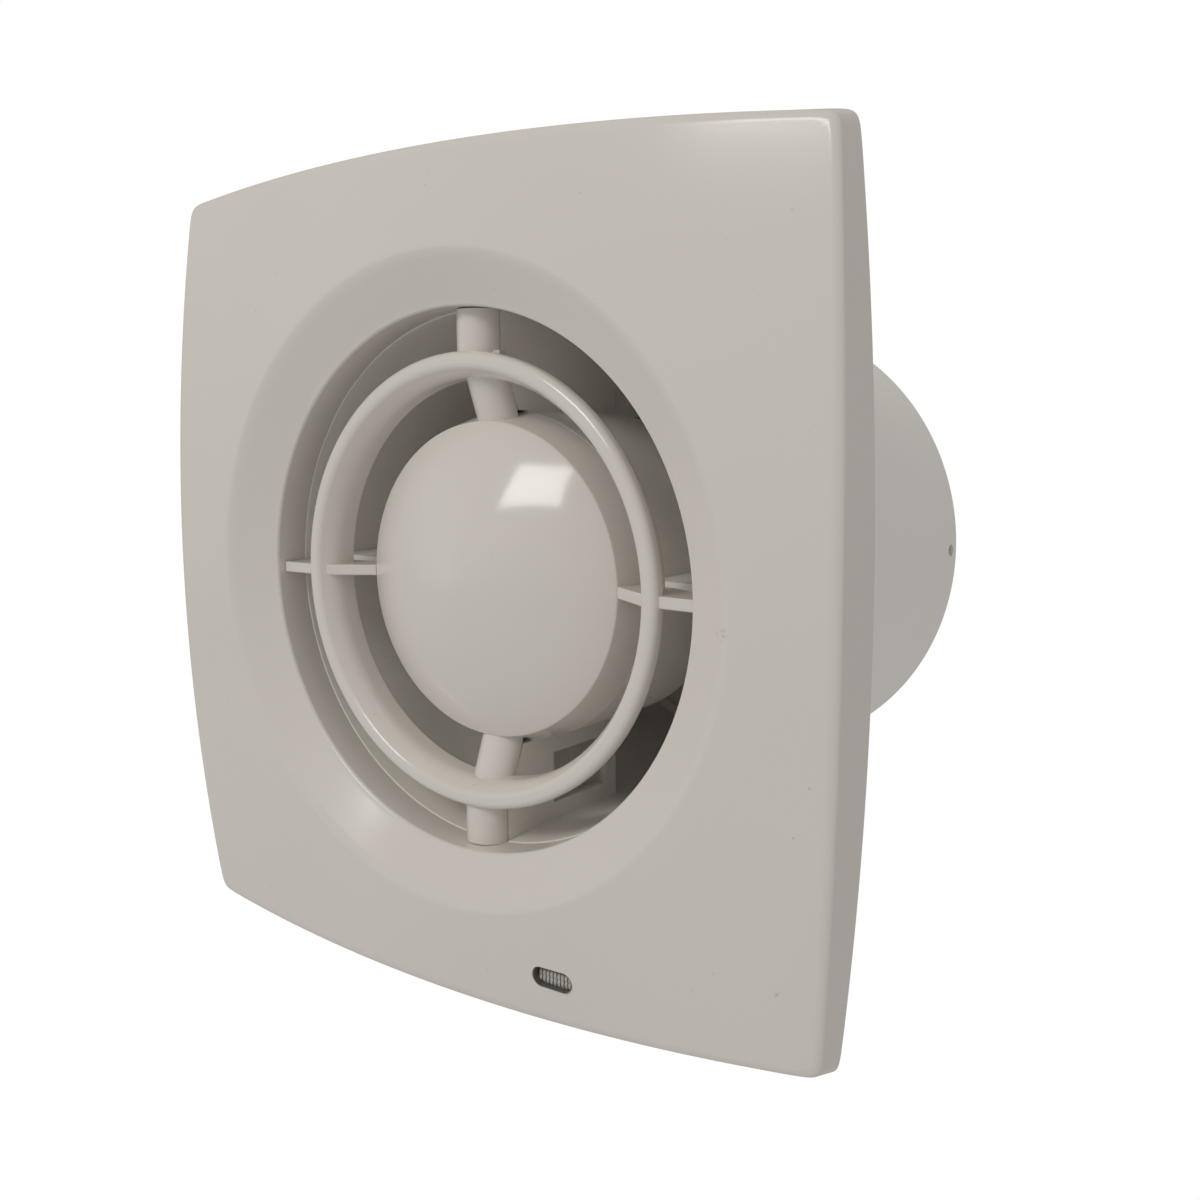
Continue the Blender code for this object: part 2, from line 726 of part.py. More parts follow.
def stator_inner_outline():
    """The open middle of the laminations: four poles with shoes round the rotor."""
    outline = []
    yoke_half = math.asin(POLE_NECK_HALF / STATOR_YOKE_R)
    shoe_back = math.asin(POLE_NECK_HALF / POLE_SHOE_R)
    for pole in range(4):
        centre = pole * math.pi / 2.0
        polar = [(STATOR_YOKE_R, -yoke_half), (POLE_SHOE_R, -shoe_back)]
        polar += [(POLE_SHOE_R - 0.2, -POLE_SHOE_ANGLE), (POLE_TIP_R, -POLE_SHOE_ANGLE)]
        polar += [(POLE_TIP_R, POLE_SHOE_ANGLE * share) for share in (-0.5, 0.0, 0.5)]
        polar += [(POLE_TIP_R, POLE_SHOE_ANGLE), (POLE_SHOE_R - 0.2, POLE_SHOE_ANGLE)]
        polar += [(POLE_SHOE_R, shoe_back), (STATOR_YOKE_R, yoke_half)]
        step = (math.pi / 2.0 - 2.0 * yoke_half) / 5.0
        polar += [(STATOR_YOKE_R, yoke_half + step * i) for i in range(1, 5)]
        outline += [(r * math.cos(centre + a), r * math.sin(centre + a)) for r, a in polar]
    return outline


def make_stator():
    stator = turned("motor_stator", [(STATOR_R, STATOR_START_Y), (STATOR_R, STATOR_END_Y)], ROUND, "laminations")
    middle = prism("stator_middle", stator_inner_outline(), STATOR_START_Y - 5.0, STATOR_END_Y + 5.0)
    cutters = [middle]
    for label, quarter in (("upper", 0), ("lower", 2)):
        x, z = on_diagonal(TIE_R, 0.0, quarter)
        start, end = (x, STATOR_START_Y - 5.0, z), (x, STATOR_END_Y + 5.0, z)
        cutters.append(rod(f"stator_hole_{label}", start, end, TIE_HOLE_R, 12, None))
    cut(stator, cutters)


def make_coils():
    """Four windings, one round each pole, made on the pole that points to +X and then turned."""
    low_y, high_y = STATOR_START_Y - COIL_OVERHANG, STATOR_END_Y + COIL_OVERHANG
    hole_half = POLE_NECK_HALF + COIL_HOLE_CLEARANCE
    hole_low, hole_high = STATOR_START_Y - COIL_HOLE_CLEARANCE, STATOR_END_Y + COIL_HOLE_CLEARANCE
    for number in range(4):
        rings = []
        for x, edge in ((COIL_NEAR, 0.6), (COIL_NEAR, 0.0), (COIL_FAR - 0.8, 0.0), (COIL_FAR, 0.8)):
            rings.append(rectangle_ring(x, low_y + edge, high_y - edge, COIL_HALF_WIDTH - edge))
        rings.append(rectangle_ring(COIL_FAR, hole_low, hole_high, hole_half))
        rings.append(rectangle_ring(COIL_NEAR, hole_low, hole_high, hole_half))
        coil = loft(f"stator_coil_{number + 1}", rings[1:], "copper")
        turn_about_y(coil, number * math.pi / 2.0)


def rectangle_ring(x, y_low, y_high, half_width):
    return [
        (x, y_low, -half_width),
        (x, y_high, -half_width),
        (x, y_high, half_width),
        (x, y_low, half_width),
    ]


def make_bracket(name, y, leg_end, boss_from, boss_to):
    """A stamped bar across the motor with two legs on the laminations and a boss for the bush."""
    half, reach = BRACKET_HALF_WIDTH, TIE_R + 2.6
    thick = BRACKET_THICKNESS
    bar = block(name, (-reach, y, -half), (reach, y + thick, half), "steel")
    parts = []
    for label, side in (("left", -1.0), ("right", 1.0)):
        ends = sorted((side * (TIE_R - 2.6), side * reach))
        low, high = sorted((y + thick / 2.0, leg_end))
        parts.append(block(f"{name}_leg_{label}", (ends[0], low, -half + 1.0), (ends[1], high, half - 1.0)))
    boss = turned(f"{name}_boss", [(BOSS_R, boss_from), (BOSS_R, boss_to)], SMALL, None)
    join(bar, parts + [boss])
    cutters = [rod(f"{name}_seat", (0, boss_from - 5, 0), (0, boss_to + 5, 0), BUSH_R + 0.1, SMALL, None)]
    for label, side in (("left", -1.0), ("right", 1.0)):
        start, end = (side * TIE_R, y - 12.0, 0.0), (side * TIE_R, y + 14.0, 0.0)
        cutters.append(rod(f"{name}_hole_{label}", start, end, TIE_HOLE_R, 12, None))
    cut(bar, cutters)
    for piece in [bar] + parts + [boss] + cutters:
        turn_about_y(piece, math.radians(45.0))


def make_bush(name, y_start, y_end):
    profile = [(BUSH_R, y_start), (BUSH_R, y_end)]
    profile += [(SHAFT_R + SHAFT_CLEARANCE, y_end), (SHAFT_R + SHAFT_CLEARANCE, y_start)]
    tube(name, profile, SMALL, "bronze")


def make_tie_screws():
    head_y = FRONT_BRACKET_Y - GAP
    for label, quarter in (("upper", 0), ("lower", 2)):
        x, z = on_diagonal(TIE_R, 0.0, quarter)
        profile = [(TIE_HEAD_R, head_y - 1.8), (TIE_HEAD_R, head_y), (TIE_SCREW_R, head_y), (TIE_SCREW_R, 36.0)]
        screw = turned(f"motor_tie_screw_{label}", profile, 12, "zinc_screw", x, z)
        slot = block(f"tie_slot_{label}", (x - 4.0, head_y - 3.0, z - 0.4), (x + 4.0, head_y - 1.2, z + 0.4))
        cut(screw, [slot])


def make_rotor(axis):
    bore = SHAFT_R + SHAFT_CLEARANCE
    profile = [(ROTOR_R - 0.8, 12.6), (ROTOR_R, 13.6), (ROTOR_R, 26.4), (ROTOR_R - 0.8, 27.4)]
    profile += [(bore, 27.4), (bore, 12.6)]
    tube("motor_rotor", profile, 32, "rotor_metal", parent=axis)


def make_shaft(axis):
    profile = [
        (SHAFT_R - 0.4, SHAFT_START_Y),
        (SHAFT_R, SHAFT_START_Y + 0.4),
        (SHAFT_R, SHAFT_END_Y - 0.4),
        (SHAFT_R - 0.4, SHAFT_END_Y),
    ]
    turned("motor_shaft", profile, SMALL, "steel", parent=axis)


# ---------------------------------------------------------------- impeller

def blade(number):
    """A twisted blade whose tip leads its root, from inside the hub's skin to the tip."""
    radii = [HUB_R - 0.9, 37.0, BLADE_TIP_R]
    steps = 4
    turn = BLADE_PHASE + number * 2.0 * math.pi / BLADE_COUNT
    rings = []
    for radius in radii:
        share = (radius - radii[0]) / (radii[-1] - radii[0])
        sweep = BLADE_ROOT_SWEEP + share * (BLADE_TIP_SWEEP - BLADE_ROOT_SWEEP)
        lead = share * BLADE_TIP_LEAD
        front, back = [], []
        for i in range(steps + 1):
            along = i / steps
            y = BLADE_START_Y + along * (BLADE_END_Y - BLADE_START_Y)
            angle = turn + lead - sweep * (along - 0.18 * math.sin(math.pi * along))
            half = 0.5 * BLADE_THICKNESS * (0.45 + 0.55 * math.sin(math.pi * along))
            slope = math.atan2(BLADE_END_Y - BLADE_START_Y, sweep * radius)
            shift = half * math.sin(slope) / radius
            rise = half * math.cos(slope)
            front.append(ring_point(radius, angle + shift, y + rise))
            back.append(ring_point(radius, angle - shift, y - rise))
        rings.append(front + back[::-1])
    return loft(f"blade_{number + 1}", rings, None, False)


def make_impeller(axis):
    bore = SHAFT_R + SHAFT_CLEARANCE
    profile = [
        (HUB_R, HUB_START_Y),
        (HUB_R, HUB_END_Y - 2.5),
        (HUB_R - 2.5, HUB_END_Y),
        (bore, HUB_END_Y),
        (bore, 41.0),
        (HUB_BOSS_R, 41.0),
        (HUB_BOSS_R, HUB_END_Y - HUB_FLOOR),
        (HUB_INNER_R - 1.5, HUB_END_Y - HUB_FLOOR),
        (HUB_INNER_R, HUB_END_Y - HUB_FLOOR - 1.5),
        (HUB_INNER_R, HUB_START_Y),
    ]
    impeller = tube("impeller", profile, ROUND, "impeller_plastic", parent=axis)
    blades = [blade(number) for number in range(BLADE_COUNT)]
    for piece in blades:
        place_under(piece, axis)
    join(impeller, blades)


def make_retaining_clip(axis):
    bore = SHAFT_R + SHAFT_CLEARANCE
    low, high = HUB_END_Y + 0.1, HUB_END_Y + 0.9
    profile = [(4.4, low), (4.4, high), (bore, high), (bore, low)]
    tube("impeller_clip", profile, TINY, "steel", parent=axis)


# ---------------------------------------------------------------- shutter

def half_disc(sign):
    """The outline of a flap: most of a half circle, with its straight edge beside the pin."""
    steps = 20
    first = math.asin(FLAP_EDGE_Z / FLAP_R)
    span = math.pi - 2.0 * first
    return [
        (FLAP_R * math.cos(first + span * i / steps), sign * FLAP_R * math.sin(first + span * i / steps))
        for i in range(steps + 1)
    ]


def make_flap(name, axis, sign, knuckles):
    """One flap with two knuckles that share the pin with the other flap's."""
    rear = FLAP_FRONT_Y + FLAP_THICKNESS
    flap = prism(name, half_disc(sign), FLAP_FRONT_Y, rear, "flap_plastic", axis)
    parts, bores = [], []
    for number, (start, end) in enumerate(knuckles):
        label = f"{name}_knuckle_{number + 1}"
        parts.append(rod(label, (start, PIN_Y, 0.0), (end, PIN_Y, 0.0), KNUCKLE_R, TINY, None))
        web_z = sorted((0.0, sign * (FLAP_EDGE_Z + 2.0)))
        web_low = (start, FLAP_FRONT_Y + 0.02, web_z[0])
        web_high = (end, rear - 0.02, web_z[1])
        parts.append(block(f"{label}_web", web_low, web_high))
        bore_ends = (start - 3.0, PIN_Y, 0.0), (end + 3.0, PIN_Y, 0.0)
        bores.append(rod(f"{label}_bore", *bore_ends, KNUCKLE_BORE_R, TINY, None))
    for piece in parts + bores:
        place_under(piece, axis)
    join(flap, parts)
    cut(flap, bores)


def make_shutter():
    upper = joint_empty("upper_flap_axis", 0.0, PIN_Y, 0.0)
    lower = joint_empty("lower_flap_axis", 0.0, PIN_Y, 0.0)
    make_flap("shutter_flap_upper", upper, 1.0, [(-40.0, -24.2), (8.0, 23.8)])
    make_flap("shutter_flap_lower", lower, -1.0, [(-23.8, -8.0), (24.2, 40.0)])
    rod("shutter_pin", (-PIN_HALF, PIN_Y, 0.0), (PIN_HALF, PIN_Y, 0.0), PIN_R, TINY, "steel")
    spring = rod("shutter_spring", (-SPRING_HALF, PIN_Y, 0.0), (SPRING_HALF, PIN_Y, 0.0), SPRING_R, TINY, "steel")
    bore_ends = (-SPRING_HALF - 3.0, PIN_Y, 0.0), (SPRING_HALF + 3.0, PIN_Y, 0.0)
    cut(spring, [rod("spring_bore", *bore_ends, SPRING_BORE_R, TINY, None)])


# ---------------------------------------------------------------- wiring

def diagonal_block(name, r_low, r_high, across_low, across_high, y_low, y_high, material_name=None):
    """A box turned to lie along the lower right diagonal."""
    corners = [
        on_diagonal(r_low, across_low),
        on_diagonal(r_high, across_low),
        on_diagonal(r_high, across_high),
        on_diagonal(r_low, across_high),
    ]
    return prism(name, corners, y_low, y_high, material_name)


def make_terminal_block():
    low, high = BLOCK_R - BLOCK_WIDTH / 2.0, BLOCK_R + BLOCK_WIDTH / 2.0
    half = BLOCK_LENGTH / 2.0
    plate = -PLATE_THICKNESS - GAP
    base = diagonal_block("terminal_block", low, high, -half, half, BLOCK_FRONT_Y + 1.6, plate, "terminal_plastic")
    ridges, wells, screws = [], [], []
    for number in range(3):
        across = (number - 1) * TERMINAL_PITCH
        ridges.append(
            diagonal_block(
                f"terminal_ridge_{number + 1}", low + 1.0, high - 1.0,
                across - 2.8, across + 2.8, BLOCK_FRONT_Y, plate - 0.4,
            )
        )
        x, z = on_diagonal(BLOCK_R, across)
        wells.append(rod(f"terminal_well_{number + 1}", (x, -9.0, z), (x, -3.6, z), 1.9, TINY, None))
        wells.append(
            diagonal_block(f"wire_way_{number + 1}", low - 3.0, BLOCK_R, across - 1.2, across + 1.2, -5.2, -2.9)
        )
        name = f"terminal_screw_{number + 1}"
        screw = turned(name, [(1.5, BLOCK_FRONT_Y + 0.5), (1.5, -3.9)], TINY, "zinc_screw", x, z)
        slot_low = (x - 2.5, BLOCK_FRONT_Y - 1.0, z - 0.3)
        slot_high = (x + 2.5, BLOCK_FRONT_Y + 1.1, z + 0.3)
        cut(screw, [block(f"{name}_slot", slot_low, slot_high)])
        screws.append(screw)
    join(base, ridges)
    cut(base, wells)


def make_cable_entry():
    profile = [
        (GROMMET_R + 1.2, -PLATE_THICKNESS - GAP - 1.2),
        (GROMMET_R + 1.2, -PLATE_THICKNESS - GAP),
        (GROMMET_R - 1.3, -PLATE_THICKNESS - GAP),
        (GROMMET_R - 1.3, -0.2),
        (GROMMET_R - 2.2, -0.2),
        (GROMMET_R - 2.2, -PLATE_THICKNESS - GAP - 1.2),
    ]
    tube("cable_grommet", profile, SMALL, "grommet_rubber", GROMMET_X, GROMMET_Z)
    plate = -PLATE_THICKNESS - GAP
    clamp = block(
        "cable_clamp", (CLAMP_X - 9.0, plate - 1.4, CLAMP_Z - 3.0), (CLAMP_X + 9.0, plate, CLAMP_Z + 3.0),
        "terminal_plastic",
    )
    hump = block("clamp_hump", (CLAMP_X - 4.2, plate - 3.9, CLAMP_Z - 3.0), (CLAMP_X + 4.2, plate - 0.4, CLAMP_Z + 3.0))
    join(clamp, [hump])
    way = block("clamp_way", (CLAMP_X - 3.3, plate - 2.6, CLAMP_Z - 9.0), (CLAMP_X + 3.3, plate + 3.0, CLAMP_Z + 9.0))
    holes = []
    for label, dx in (("left", -7.0), ("right", 7.0)):
        x = CLAMP_X + dx * 0.93
        holes.append(rod(f"clamp_way_{label}", (x, -9.0, CLAMP_Z), (x, 3.0, CLAMP_Z), 1.3, 12, None))
        head = plate - 1.4 - 0.1
        profile = [(2.1, head - 1.2), (2.1, head), (1.0, head), (1.0, -0.2)]
        turned(f"clamp_screw_{label}", profile, 12, "zinc_screw", x, CLAMP_Z)
    cut(clamp, [way] + holes)


def lead(name, points, material_name):
    """A wire through hand-placed points, smoothed into one curve."""
    curve = bpy.data.curves.new(name, "CURVE")
    curve.dimensions = "3D"
    curve.bevel_depth = LEAD_R * MM
    curve.bevel_resolution = 1
    curve.use_fill_caps = True
    smooth = smooth_route(points)
    spline = curve.splines.new("POLY")
    spline.points.add(len(smooth) - 1)
    for point, place in zip(spline.points, smooth):
        point.co = (place.x * MM, place.y * MM, place.z * MM, 1.0)
    curve.materials.append(material(material_name))
    obj = bpy.data.objects.new(name, curve)
    bpy.context.scene.collection.objects.link(obj)


def smooth_route(points, steps=3):
    """Points on a Catmull-Rom curve through the given ones."""
    ends = [Vector(points[0]) * 2.0 - Vector(points[1]), Vector(points[-1]) * 2.0 - Vector(points[-2])]
    way = [ends[0]] + [Vector(point) for point in points] + [ends[1]]
    route = []
    for i in range(1, len(way) - 2):
        a, b, c, d = way[i - 1], way[i], way[i + 1], way[i + 2]
        for j in range(steps):
            t = j / steps
            route.append(
                0.5 * (2.0 * b + (c - a) * t + (2.0 * a - 5.0 * b + 4.0 * c - d) * t * t
                       + (3.0 * b - a - 3.0 * c + d) * t * t * t)
            )
    route.append(way[-2])
    return route


def make_leads():
    """The two leads from the terminal block through the lower channel to the windings."""
    for name, number, side, paint in (
        ("live_lead", 0, 1.0, "brown_lead"),
        ("neutral_lead", 1, -1.0, "blue_lead"),
    ):
        across = (number - 1) * TERMINAL_PITCH
        start = on_diagonal(BLOCK_R - BLOCK_WIDTH / 2.0 + 1.0, across)
        near = on_diagonal(BLOCK_R - BLOCK_WIDTH / 2.0 - 6.0, across)
        x = LEAD_X * side
        lay = -3.2 if side > 0 else -4.8
        points = [
            (start[0], -4.1, start[1]),
            (near[0], -4.1, near[1]),
            (30.0 + 2.0 * side, lay, -54.2),
            (12.0 + 2.0 * side, lay, -55.2),
            (x + 1.6, lay + 0.1, -54.0),
            (x + 0.3, -2.9, -52.4),
            (x, -1.7, -50.8),
            (x, -0.7, -49.2),
            (x, -0.6, -46.6),
            (x, 1.6, -43.4),
            (x, 7.0, -40.0),
            (x, 14.0, -34.0),
            (x, 20.0, -27.8),
            (x, 27.5, -27.0),
            (x, 29.8, -23.5),
            (x, 29.7, -18.6),
        ]
        lead(name, points, paint)


def main():
    clear_scene()
    make_front_cover()
    make_cover_screw()
    make_lamp()
    make_inlet_grille()
    make_nose_cap()
    make_rear_casing()
    make_motor_support()
    make_stator()
    make_coils()
    make_bracket("front_bearing_bracket", FRONT_BRACKET_Y, STATOR_START_Y - GAP, 6.2, 11.0)
    make_bracket("rear_bearing_bracket", REAR_BRACKET_Y - BRACKET_THICKNESS, STATOR_END_Y + GAP, 29.6, 35.6)
    make_bush("front_bearing_bush", 6.4, 11.4)
    make_bush("rear_bearing_bush", 29.2, 35.4)
    make_tie_screws()
    spin = joint_empty("impeller_axis", 0.0, 0.0, 0.0)
    make_rotor(spin)
    make_shaft(spin)
    make_impeller(spin)
    make_retaining_clip(spin)
    make_shutter()
    make_terminal_block()
    make_cable_entry()
    make_leads()


main()
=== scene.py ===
"""Looks of the bathroom extractor fan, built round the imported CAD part.

Frame: the origin is on the duct's axis in the plane of the wall. +X is to the
right, +Y goes into the wall along the duct and +Z is up. Sizes are in
millimetres, and are turned into metres where a mesh is made.
"""

import math

import bmesh
import bpy
from mathutils import Matrix, Vector

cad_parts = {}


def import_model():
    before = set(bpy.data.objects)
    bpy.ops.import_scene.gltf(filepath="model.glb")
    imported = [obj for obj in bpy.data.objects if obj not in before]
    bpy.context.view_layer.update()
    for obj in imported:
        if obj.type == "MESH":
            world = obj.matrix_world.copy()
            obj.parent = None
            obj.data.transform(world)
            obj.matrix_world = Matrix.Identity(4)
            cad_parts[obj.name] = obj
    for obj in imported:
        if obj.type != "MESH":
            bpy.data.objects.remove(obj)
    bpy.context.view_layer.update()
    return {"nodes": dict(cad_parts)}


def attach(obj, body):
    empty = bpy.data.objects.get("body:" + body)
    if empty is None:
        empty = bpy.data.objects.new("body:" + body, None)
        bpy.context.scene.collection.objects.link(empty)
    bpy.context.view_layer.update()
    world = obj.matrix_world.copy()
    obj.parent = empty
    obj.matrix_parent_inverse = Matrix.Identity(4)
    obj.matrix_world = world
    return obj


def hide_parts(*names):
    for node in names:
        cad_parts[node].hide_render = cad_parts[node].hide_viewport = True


MM = 0.001
CASING = "casing"
IMPELLER = "impeller"

# Front cover
COVER_HALF = 71.05
COVER_BULGE = 4.0
COVER_FRONT_HALF = 70.3
COVER_FRONT_BULGE = 3.6
COVER_WALL = 1.8
CORNER_POWER = 84.0
FACE_CROWN = 13.16
FACE_FALL = 0.00083
BEVEL_INSET = 2.0
BEVEL_DROP = 1.05
DISH_OUTER_R = 56.8
DISH_MIDDLE_R = 52.3
DISH_MIDDLE_Y = -7.75
DISH_INNER_Y = -5.7
LIP_RADIUS = 0.8
LIP_TURN = math.radians(80.0)
THROAT_R = 47.5
THROAT_WALL = 1.6
THROAT_END_Y = 1.3
THROAT_BACK_Y = -3.9

# Screw at the cover's bottom edge
SCREW_Y = -3.6
SCREW_HEAD_Z = -74.5
SCREW_HEAD_R = 2.6
SCREW_SINK_R = 2.9
SCREW_WAY_R = 1.6
SCREW_R = 1.25

# Indicator lamp
LENS_X = 22.4
LENS_Z = -65.0
LENS_LENGTH = 8.3
LENS_HEIGHT = 3.6
LENS_INSET = 1.3
SLEEVE_SKIN = 0.16
LENS_PITCH = 0.78

# Inlet grille
RING_INNER_R = 35.6
RING_SLEEVE_R = 37.0
RING_OUTER_R = 40.15
RING_FRONT_Y = -4.45
RING_LIP_Y = -1.3
RING_END_Y = 3.4
COLLAR_HALF = 5.4
COLLAR_R = 40.25
COLLAR_START_Y = -0.2
ARM_RADIUS = 4.2
ARM_WALL = 1.2
ARM_OUTER_Y = 1.3
ARM_RING_Y = 3.3
ARM_NOSE_Y = 6.0
ARM_END_R = 47.3
FIN_HALF = 1.0
FIN_EDGE = 0.18

# Nose cap
NOSE_R = 28.1
NOSE_CREASE_Y = 2.0
NOSE_HEIGHT = 10.5
NOSE_SKIRT_R = 29.95
NOSE_END_Y = 8.7

# Casing
SPIGOT_R = 49.25
BORE_R = 46.75
MOUTH_BORE_R = 47.3
MOUTH_DEPTH = 12.0
SPIGOT_END_Y = 98.5
PLATE_HALF = 67.6
PLATE_BULGE = 3.4
PLATE_THICKNESS = 2.0
RECESS_R = 49.45
SHOULDER_R = 51.2
SHOULDER_Y = 4.4
BORE_START_Y = 1.35
BOSS_HALF = 3.4
BOSS_FRONT_Y = -6.2
BOSS_HOLE_R = 1.5
REST_START = 66.0
REST_LENGTH = 4.2
REST_HALF = 6.0
REST_FRONT_Y = -5.0
POST_REAR_Y = -1.0
SEAT_R = 45.2
SEAT_FRONT_Y = 90.6
SEAT_REAR_Y = 92.6
WALL_SLOT_REACH = 61.0 * math.sqrt(2.0) * 0.94

# Motor support
CUP_R = 30.0
CUP_INNER_R = 28.2
CUP_START_Y = 8.8
CUP_END_Y = 35.0
CHANNEL_HALF = 4.2
CHANNEL_WALL = 1.4
SEAM = 0.3
RIB_HALF = 1.5
RIB_START_Y = 9.0
WINDOW_START_Y = 15.0
WINDOW_END_Y = 31.5
WINDOW_TOP_Z = -33.6
WINDOW_BOTTOM_Z = -43.3
MOUTH_R = 47.0

# Impeller
HUB_R = 29.6
HUB_INNER_R = 27.8
HUB_START_Y = 36.2
HUB_END_Y = 62.0
BLADE_TIP_R = 45.2
BLADE_COUNT = 7
BLADE_START_Y = 39.0
BLADE_END_Y = 57.0
BLADE_ROOT_SWEEP = math.radians(40.0)
BLADE_TIP_SWEEP = math.radians(34.0)
BLADE_TIP_LEAD = math.radians(9.0)
BLADE_THICKNESS = 1.5
BLADE_PHASE = math.radians(-84.0)

# Shutter
PIN_Y = 95.0
PIN_R = 1.0
PIN_HALF = 48.6
KNUCKLE_R = 2.1
KNUCKLE_BORE_R = 1.08
FLAP_R = 46.1
FLAP_THICKNESS = 1.2
FLAP_FRONT_Y = 93.1
FLAP_EDGE_Z = 2.5

# Cable entry and the plate's small holes
GROMMET_X = 60.5
GROMMET_Z = -23.0
CABLE_HOLE_R = 4.6
CLAMP_X = 60.5
CLAMP_Z = -35.0
CLAMP_HOLE_OFFSET = 6.51
BLOCK_R = 74.0
BLOCK_HOLE_OFFSET = 9.6
SMALL_HOLE_R = 1.2
PIN_HOLE_R = 1.25
THROUGH_Y = 9.0

# Camera and studio
CAMERA_PLACE = (153.29, -173.48, 30.17)
CAMERA_RIGHT = (0.8071, 0.5904, -0.0055)
CAMERA_DOWN = (0.0806, -0.1193, -0.9896)
CAMERA_FORWARD = (-0.5849, 0.7983, -0.1439)
CAMERA_LENS = 39.39
FLOOR_Z = -320.0
FLOOR_HALF = 9000.0
SKY_STRENGTH = 0.44
KEY_PLACE = (-0.155, -1.0, 0.74)
KEY_WIDTH = 0.54
KEY_HEIGHT = 0.42
KEY_POWER = 4.9
FILL_PLACE = (-1.1, -0.7, 0.2)
FILL_SIZE = 0.8
FILL_POWER = 0.25

FINE = 256
ROUND = 128
SMALL = 48


# ---------------------------------------------------------------- mesh tools

def mesh_from(name, points, faces):
    """A mesh from points in millimetres, with its faces turned outwards."""
    mesh = bpy.data.meshes.new(name)
    build = bmesh.new()
    corners = [build.verts.new(Vector(point) * MM) for point in points]
    for face in faces:
        build.faces.new([corners[index] for index in face])
    bmesh.ops.recalc_face_normals(build, faces=build.faces)
    build.to_mesh(mesh)
    build.free()
    return mesh


def add_object(name, mesh, crease=30.0):
    obj = bpy.data.objects.new(name, mesh)
    bpy.context.scene.collection.objects.link(obj)
    mesh.shade_smooth()
    mesh.set_sharp_from_angle(angle=math.radians(crease))
    return obj


def loft(name, rings, closed=True, crease=30.0):
    """A solid skinned over rings of equally many points; closed joins the last ring to the first."""
    count = len(rings[0])
    points = [point for ring in rings for point in ring]
    faces = []
    for i in range(len(rings) if closed else len(rings) - 1):
        low = i * count
        high = ((i + 1) % len(rings)) * count
        for j in range(count):
            k = (j + 1) % count
            faces.append((low + j, low + k, high + k, high + j))
    if not closed:
        faces.append(tuple(range(count)))
        faces.append(tuple(range(len(points) - count, len(points))))
    return add_object(name, mesh_from(name, points, faces), crease)


def circle(radius, y, segments, x=0.0, z=0.0):
    ring = []
    for i in range(segments):
        angle = 2.0 * math.pi * i / segments
        ring.append((x + radius * math.cos(angle), y, z + radius * math.sin(angle)))
    return ring


def lathe(name, profile, segments, closed=True, x=0.0, z=0.0, crease=30.0):
    """A turned piece about an axis along Y; profile is a list of (radius, y)."""
    rings = [circle(radius, y, segments, x, z) for radius, y in profile]
    return loft(name, rings, closed, crease)


def upright_lathe(name, profile):
    """A turned piece about the cover screw's upright axis; profile is a list of (radius, z)."""
    rings = []
    for radius, z in profile:
        ring = circle(radius, 0.0, SMALL)
        rings.append([(point[0], SCREW_Y + point[2], z) for point in ring])
    return loft(name, rings, False)


def prism(name, outline, y_start, y_end):
    rings = [[(x, y, z) for x, z in outline] for y in (y_start, y_end)]
    return loft(name, rings, False)


def block(name, low, high):
    outline = [(low[0], low[2]), (high[0], low[2]), (high[0], high[2]), (low[0], high[2])]
    return prism(name, outline, low[1], high[1])


def rod(name, start, end, radius, segments=SMALL, edge=0.0):
    """A round bar between two points, with rounded ends where edge is given."""
    start, end = Vector(start), Vector(end)
    along = (end - start).normalized()
    turn = along.to_track_quat("Z", "Y")
    stops = [(start, radius), (end, radius)]
    if edge:
        stops = [(start, radius - edge), (start + along * edge, radius)]
        stops += [(end - along * edge, radius), (end, radius - edge)]
    rings = []
    for centre, reach in stops:
        ring = []
        for i in range(segments):
            angle = 2.0 * math.pi * i / segments
            offset = Vector((reach * math.cos(angle), reach * math.sin(angle), 0.0))
            ring.append(tuple(centre + turn @ offset))
        rings.append(ring)
    return loft(name, rings, False)


def rounded(corners, steps=5, closed=True):
    """A profile through (a, b, radius) corners, each rounded by an arc of its radius."""
    path = []
    count = len(corners)
    for i, (a, b, radius) in enumerate(corners):
        here = Vector((a, b))
        end = not closed and i in (0, count - 1)
        if radius <= 0.0 or end:
            path.append((a, b))
            continue
        before = Vector(corners[i - 1][:2]) - here
        after = Vector(corners[(i + 1) % count][:2]) - here
        angle = before.angle(after)
        reach = min(radius / math.tan(angle / 2.0), 0.49 * before.length, 0.49 * after.length)
        first = here + before.normalized() * reach
        last = here + after.normalized() * reach
        middle = (before.normalized() + after.normalized()).normalized()
        centre = here + middle * (reach / math.cos(angle / 2.0))
        start_arm, end_arm = first - centre, last - centre
        turn = start_arm.angle_signed(end_arm)
        for j in range(steps + 1):
            arm = start_arm.copy()
            arm.rotate(Matrix.Rotation(-turn * j / steps, 2))
            path.append(tuple(centre + arm))
    return path


def settle(obj):
    """Applies an object's modifiers."""
    graph = bpy.context.evaluated_depsgraph_get()
    mesh = bpy.data.meshes.new_from_object(obj.evaluated_get(graph))
    obj.modifiers.clear()
    obj.data = mesh


def combine(target, others, operation):
    """Joins the others to the target or cuts them out of it, and then removes them."""
    for other in others:
        step = target.modifiers.new(other.name, "BOOLEAN")
        step.operation = operation
        step.solver = "EXACT"
        step.object = other
    settle(target)
    for other in others:
        bpy.data.objects.remove(other, do_unlink=True)


def join(target, others):
    combine(target, others, "UNION")


def cut(target, others):
    combine(target, others, "DIFFERENCE")


def smooth(obj, crease=30.0):
    """Smooth shading with sharp edges, weighted so that broad faces keep their own normals."""
    obj.data.shade_smooth()
    obj.data.set_sharp_from_angle(angle=math.radians(crease))
    step = obj.modifiers.new("weighted_normals", "WEIGHTED_NORMAL")
    step.keep_sharp = True
    settle(obj)


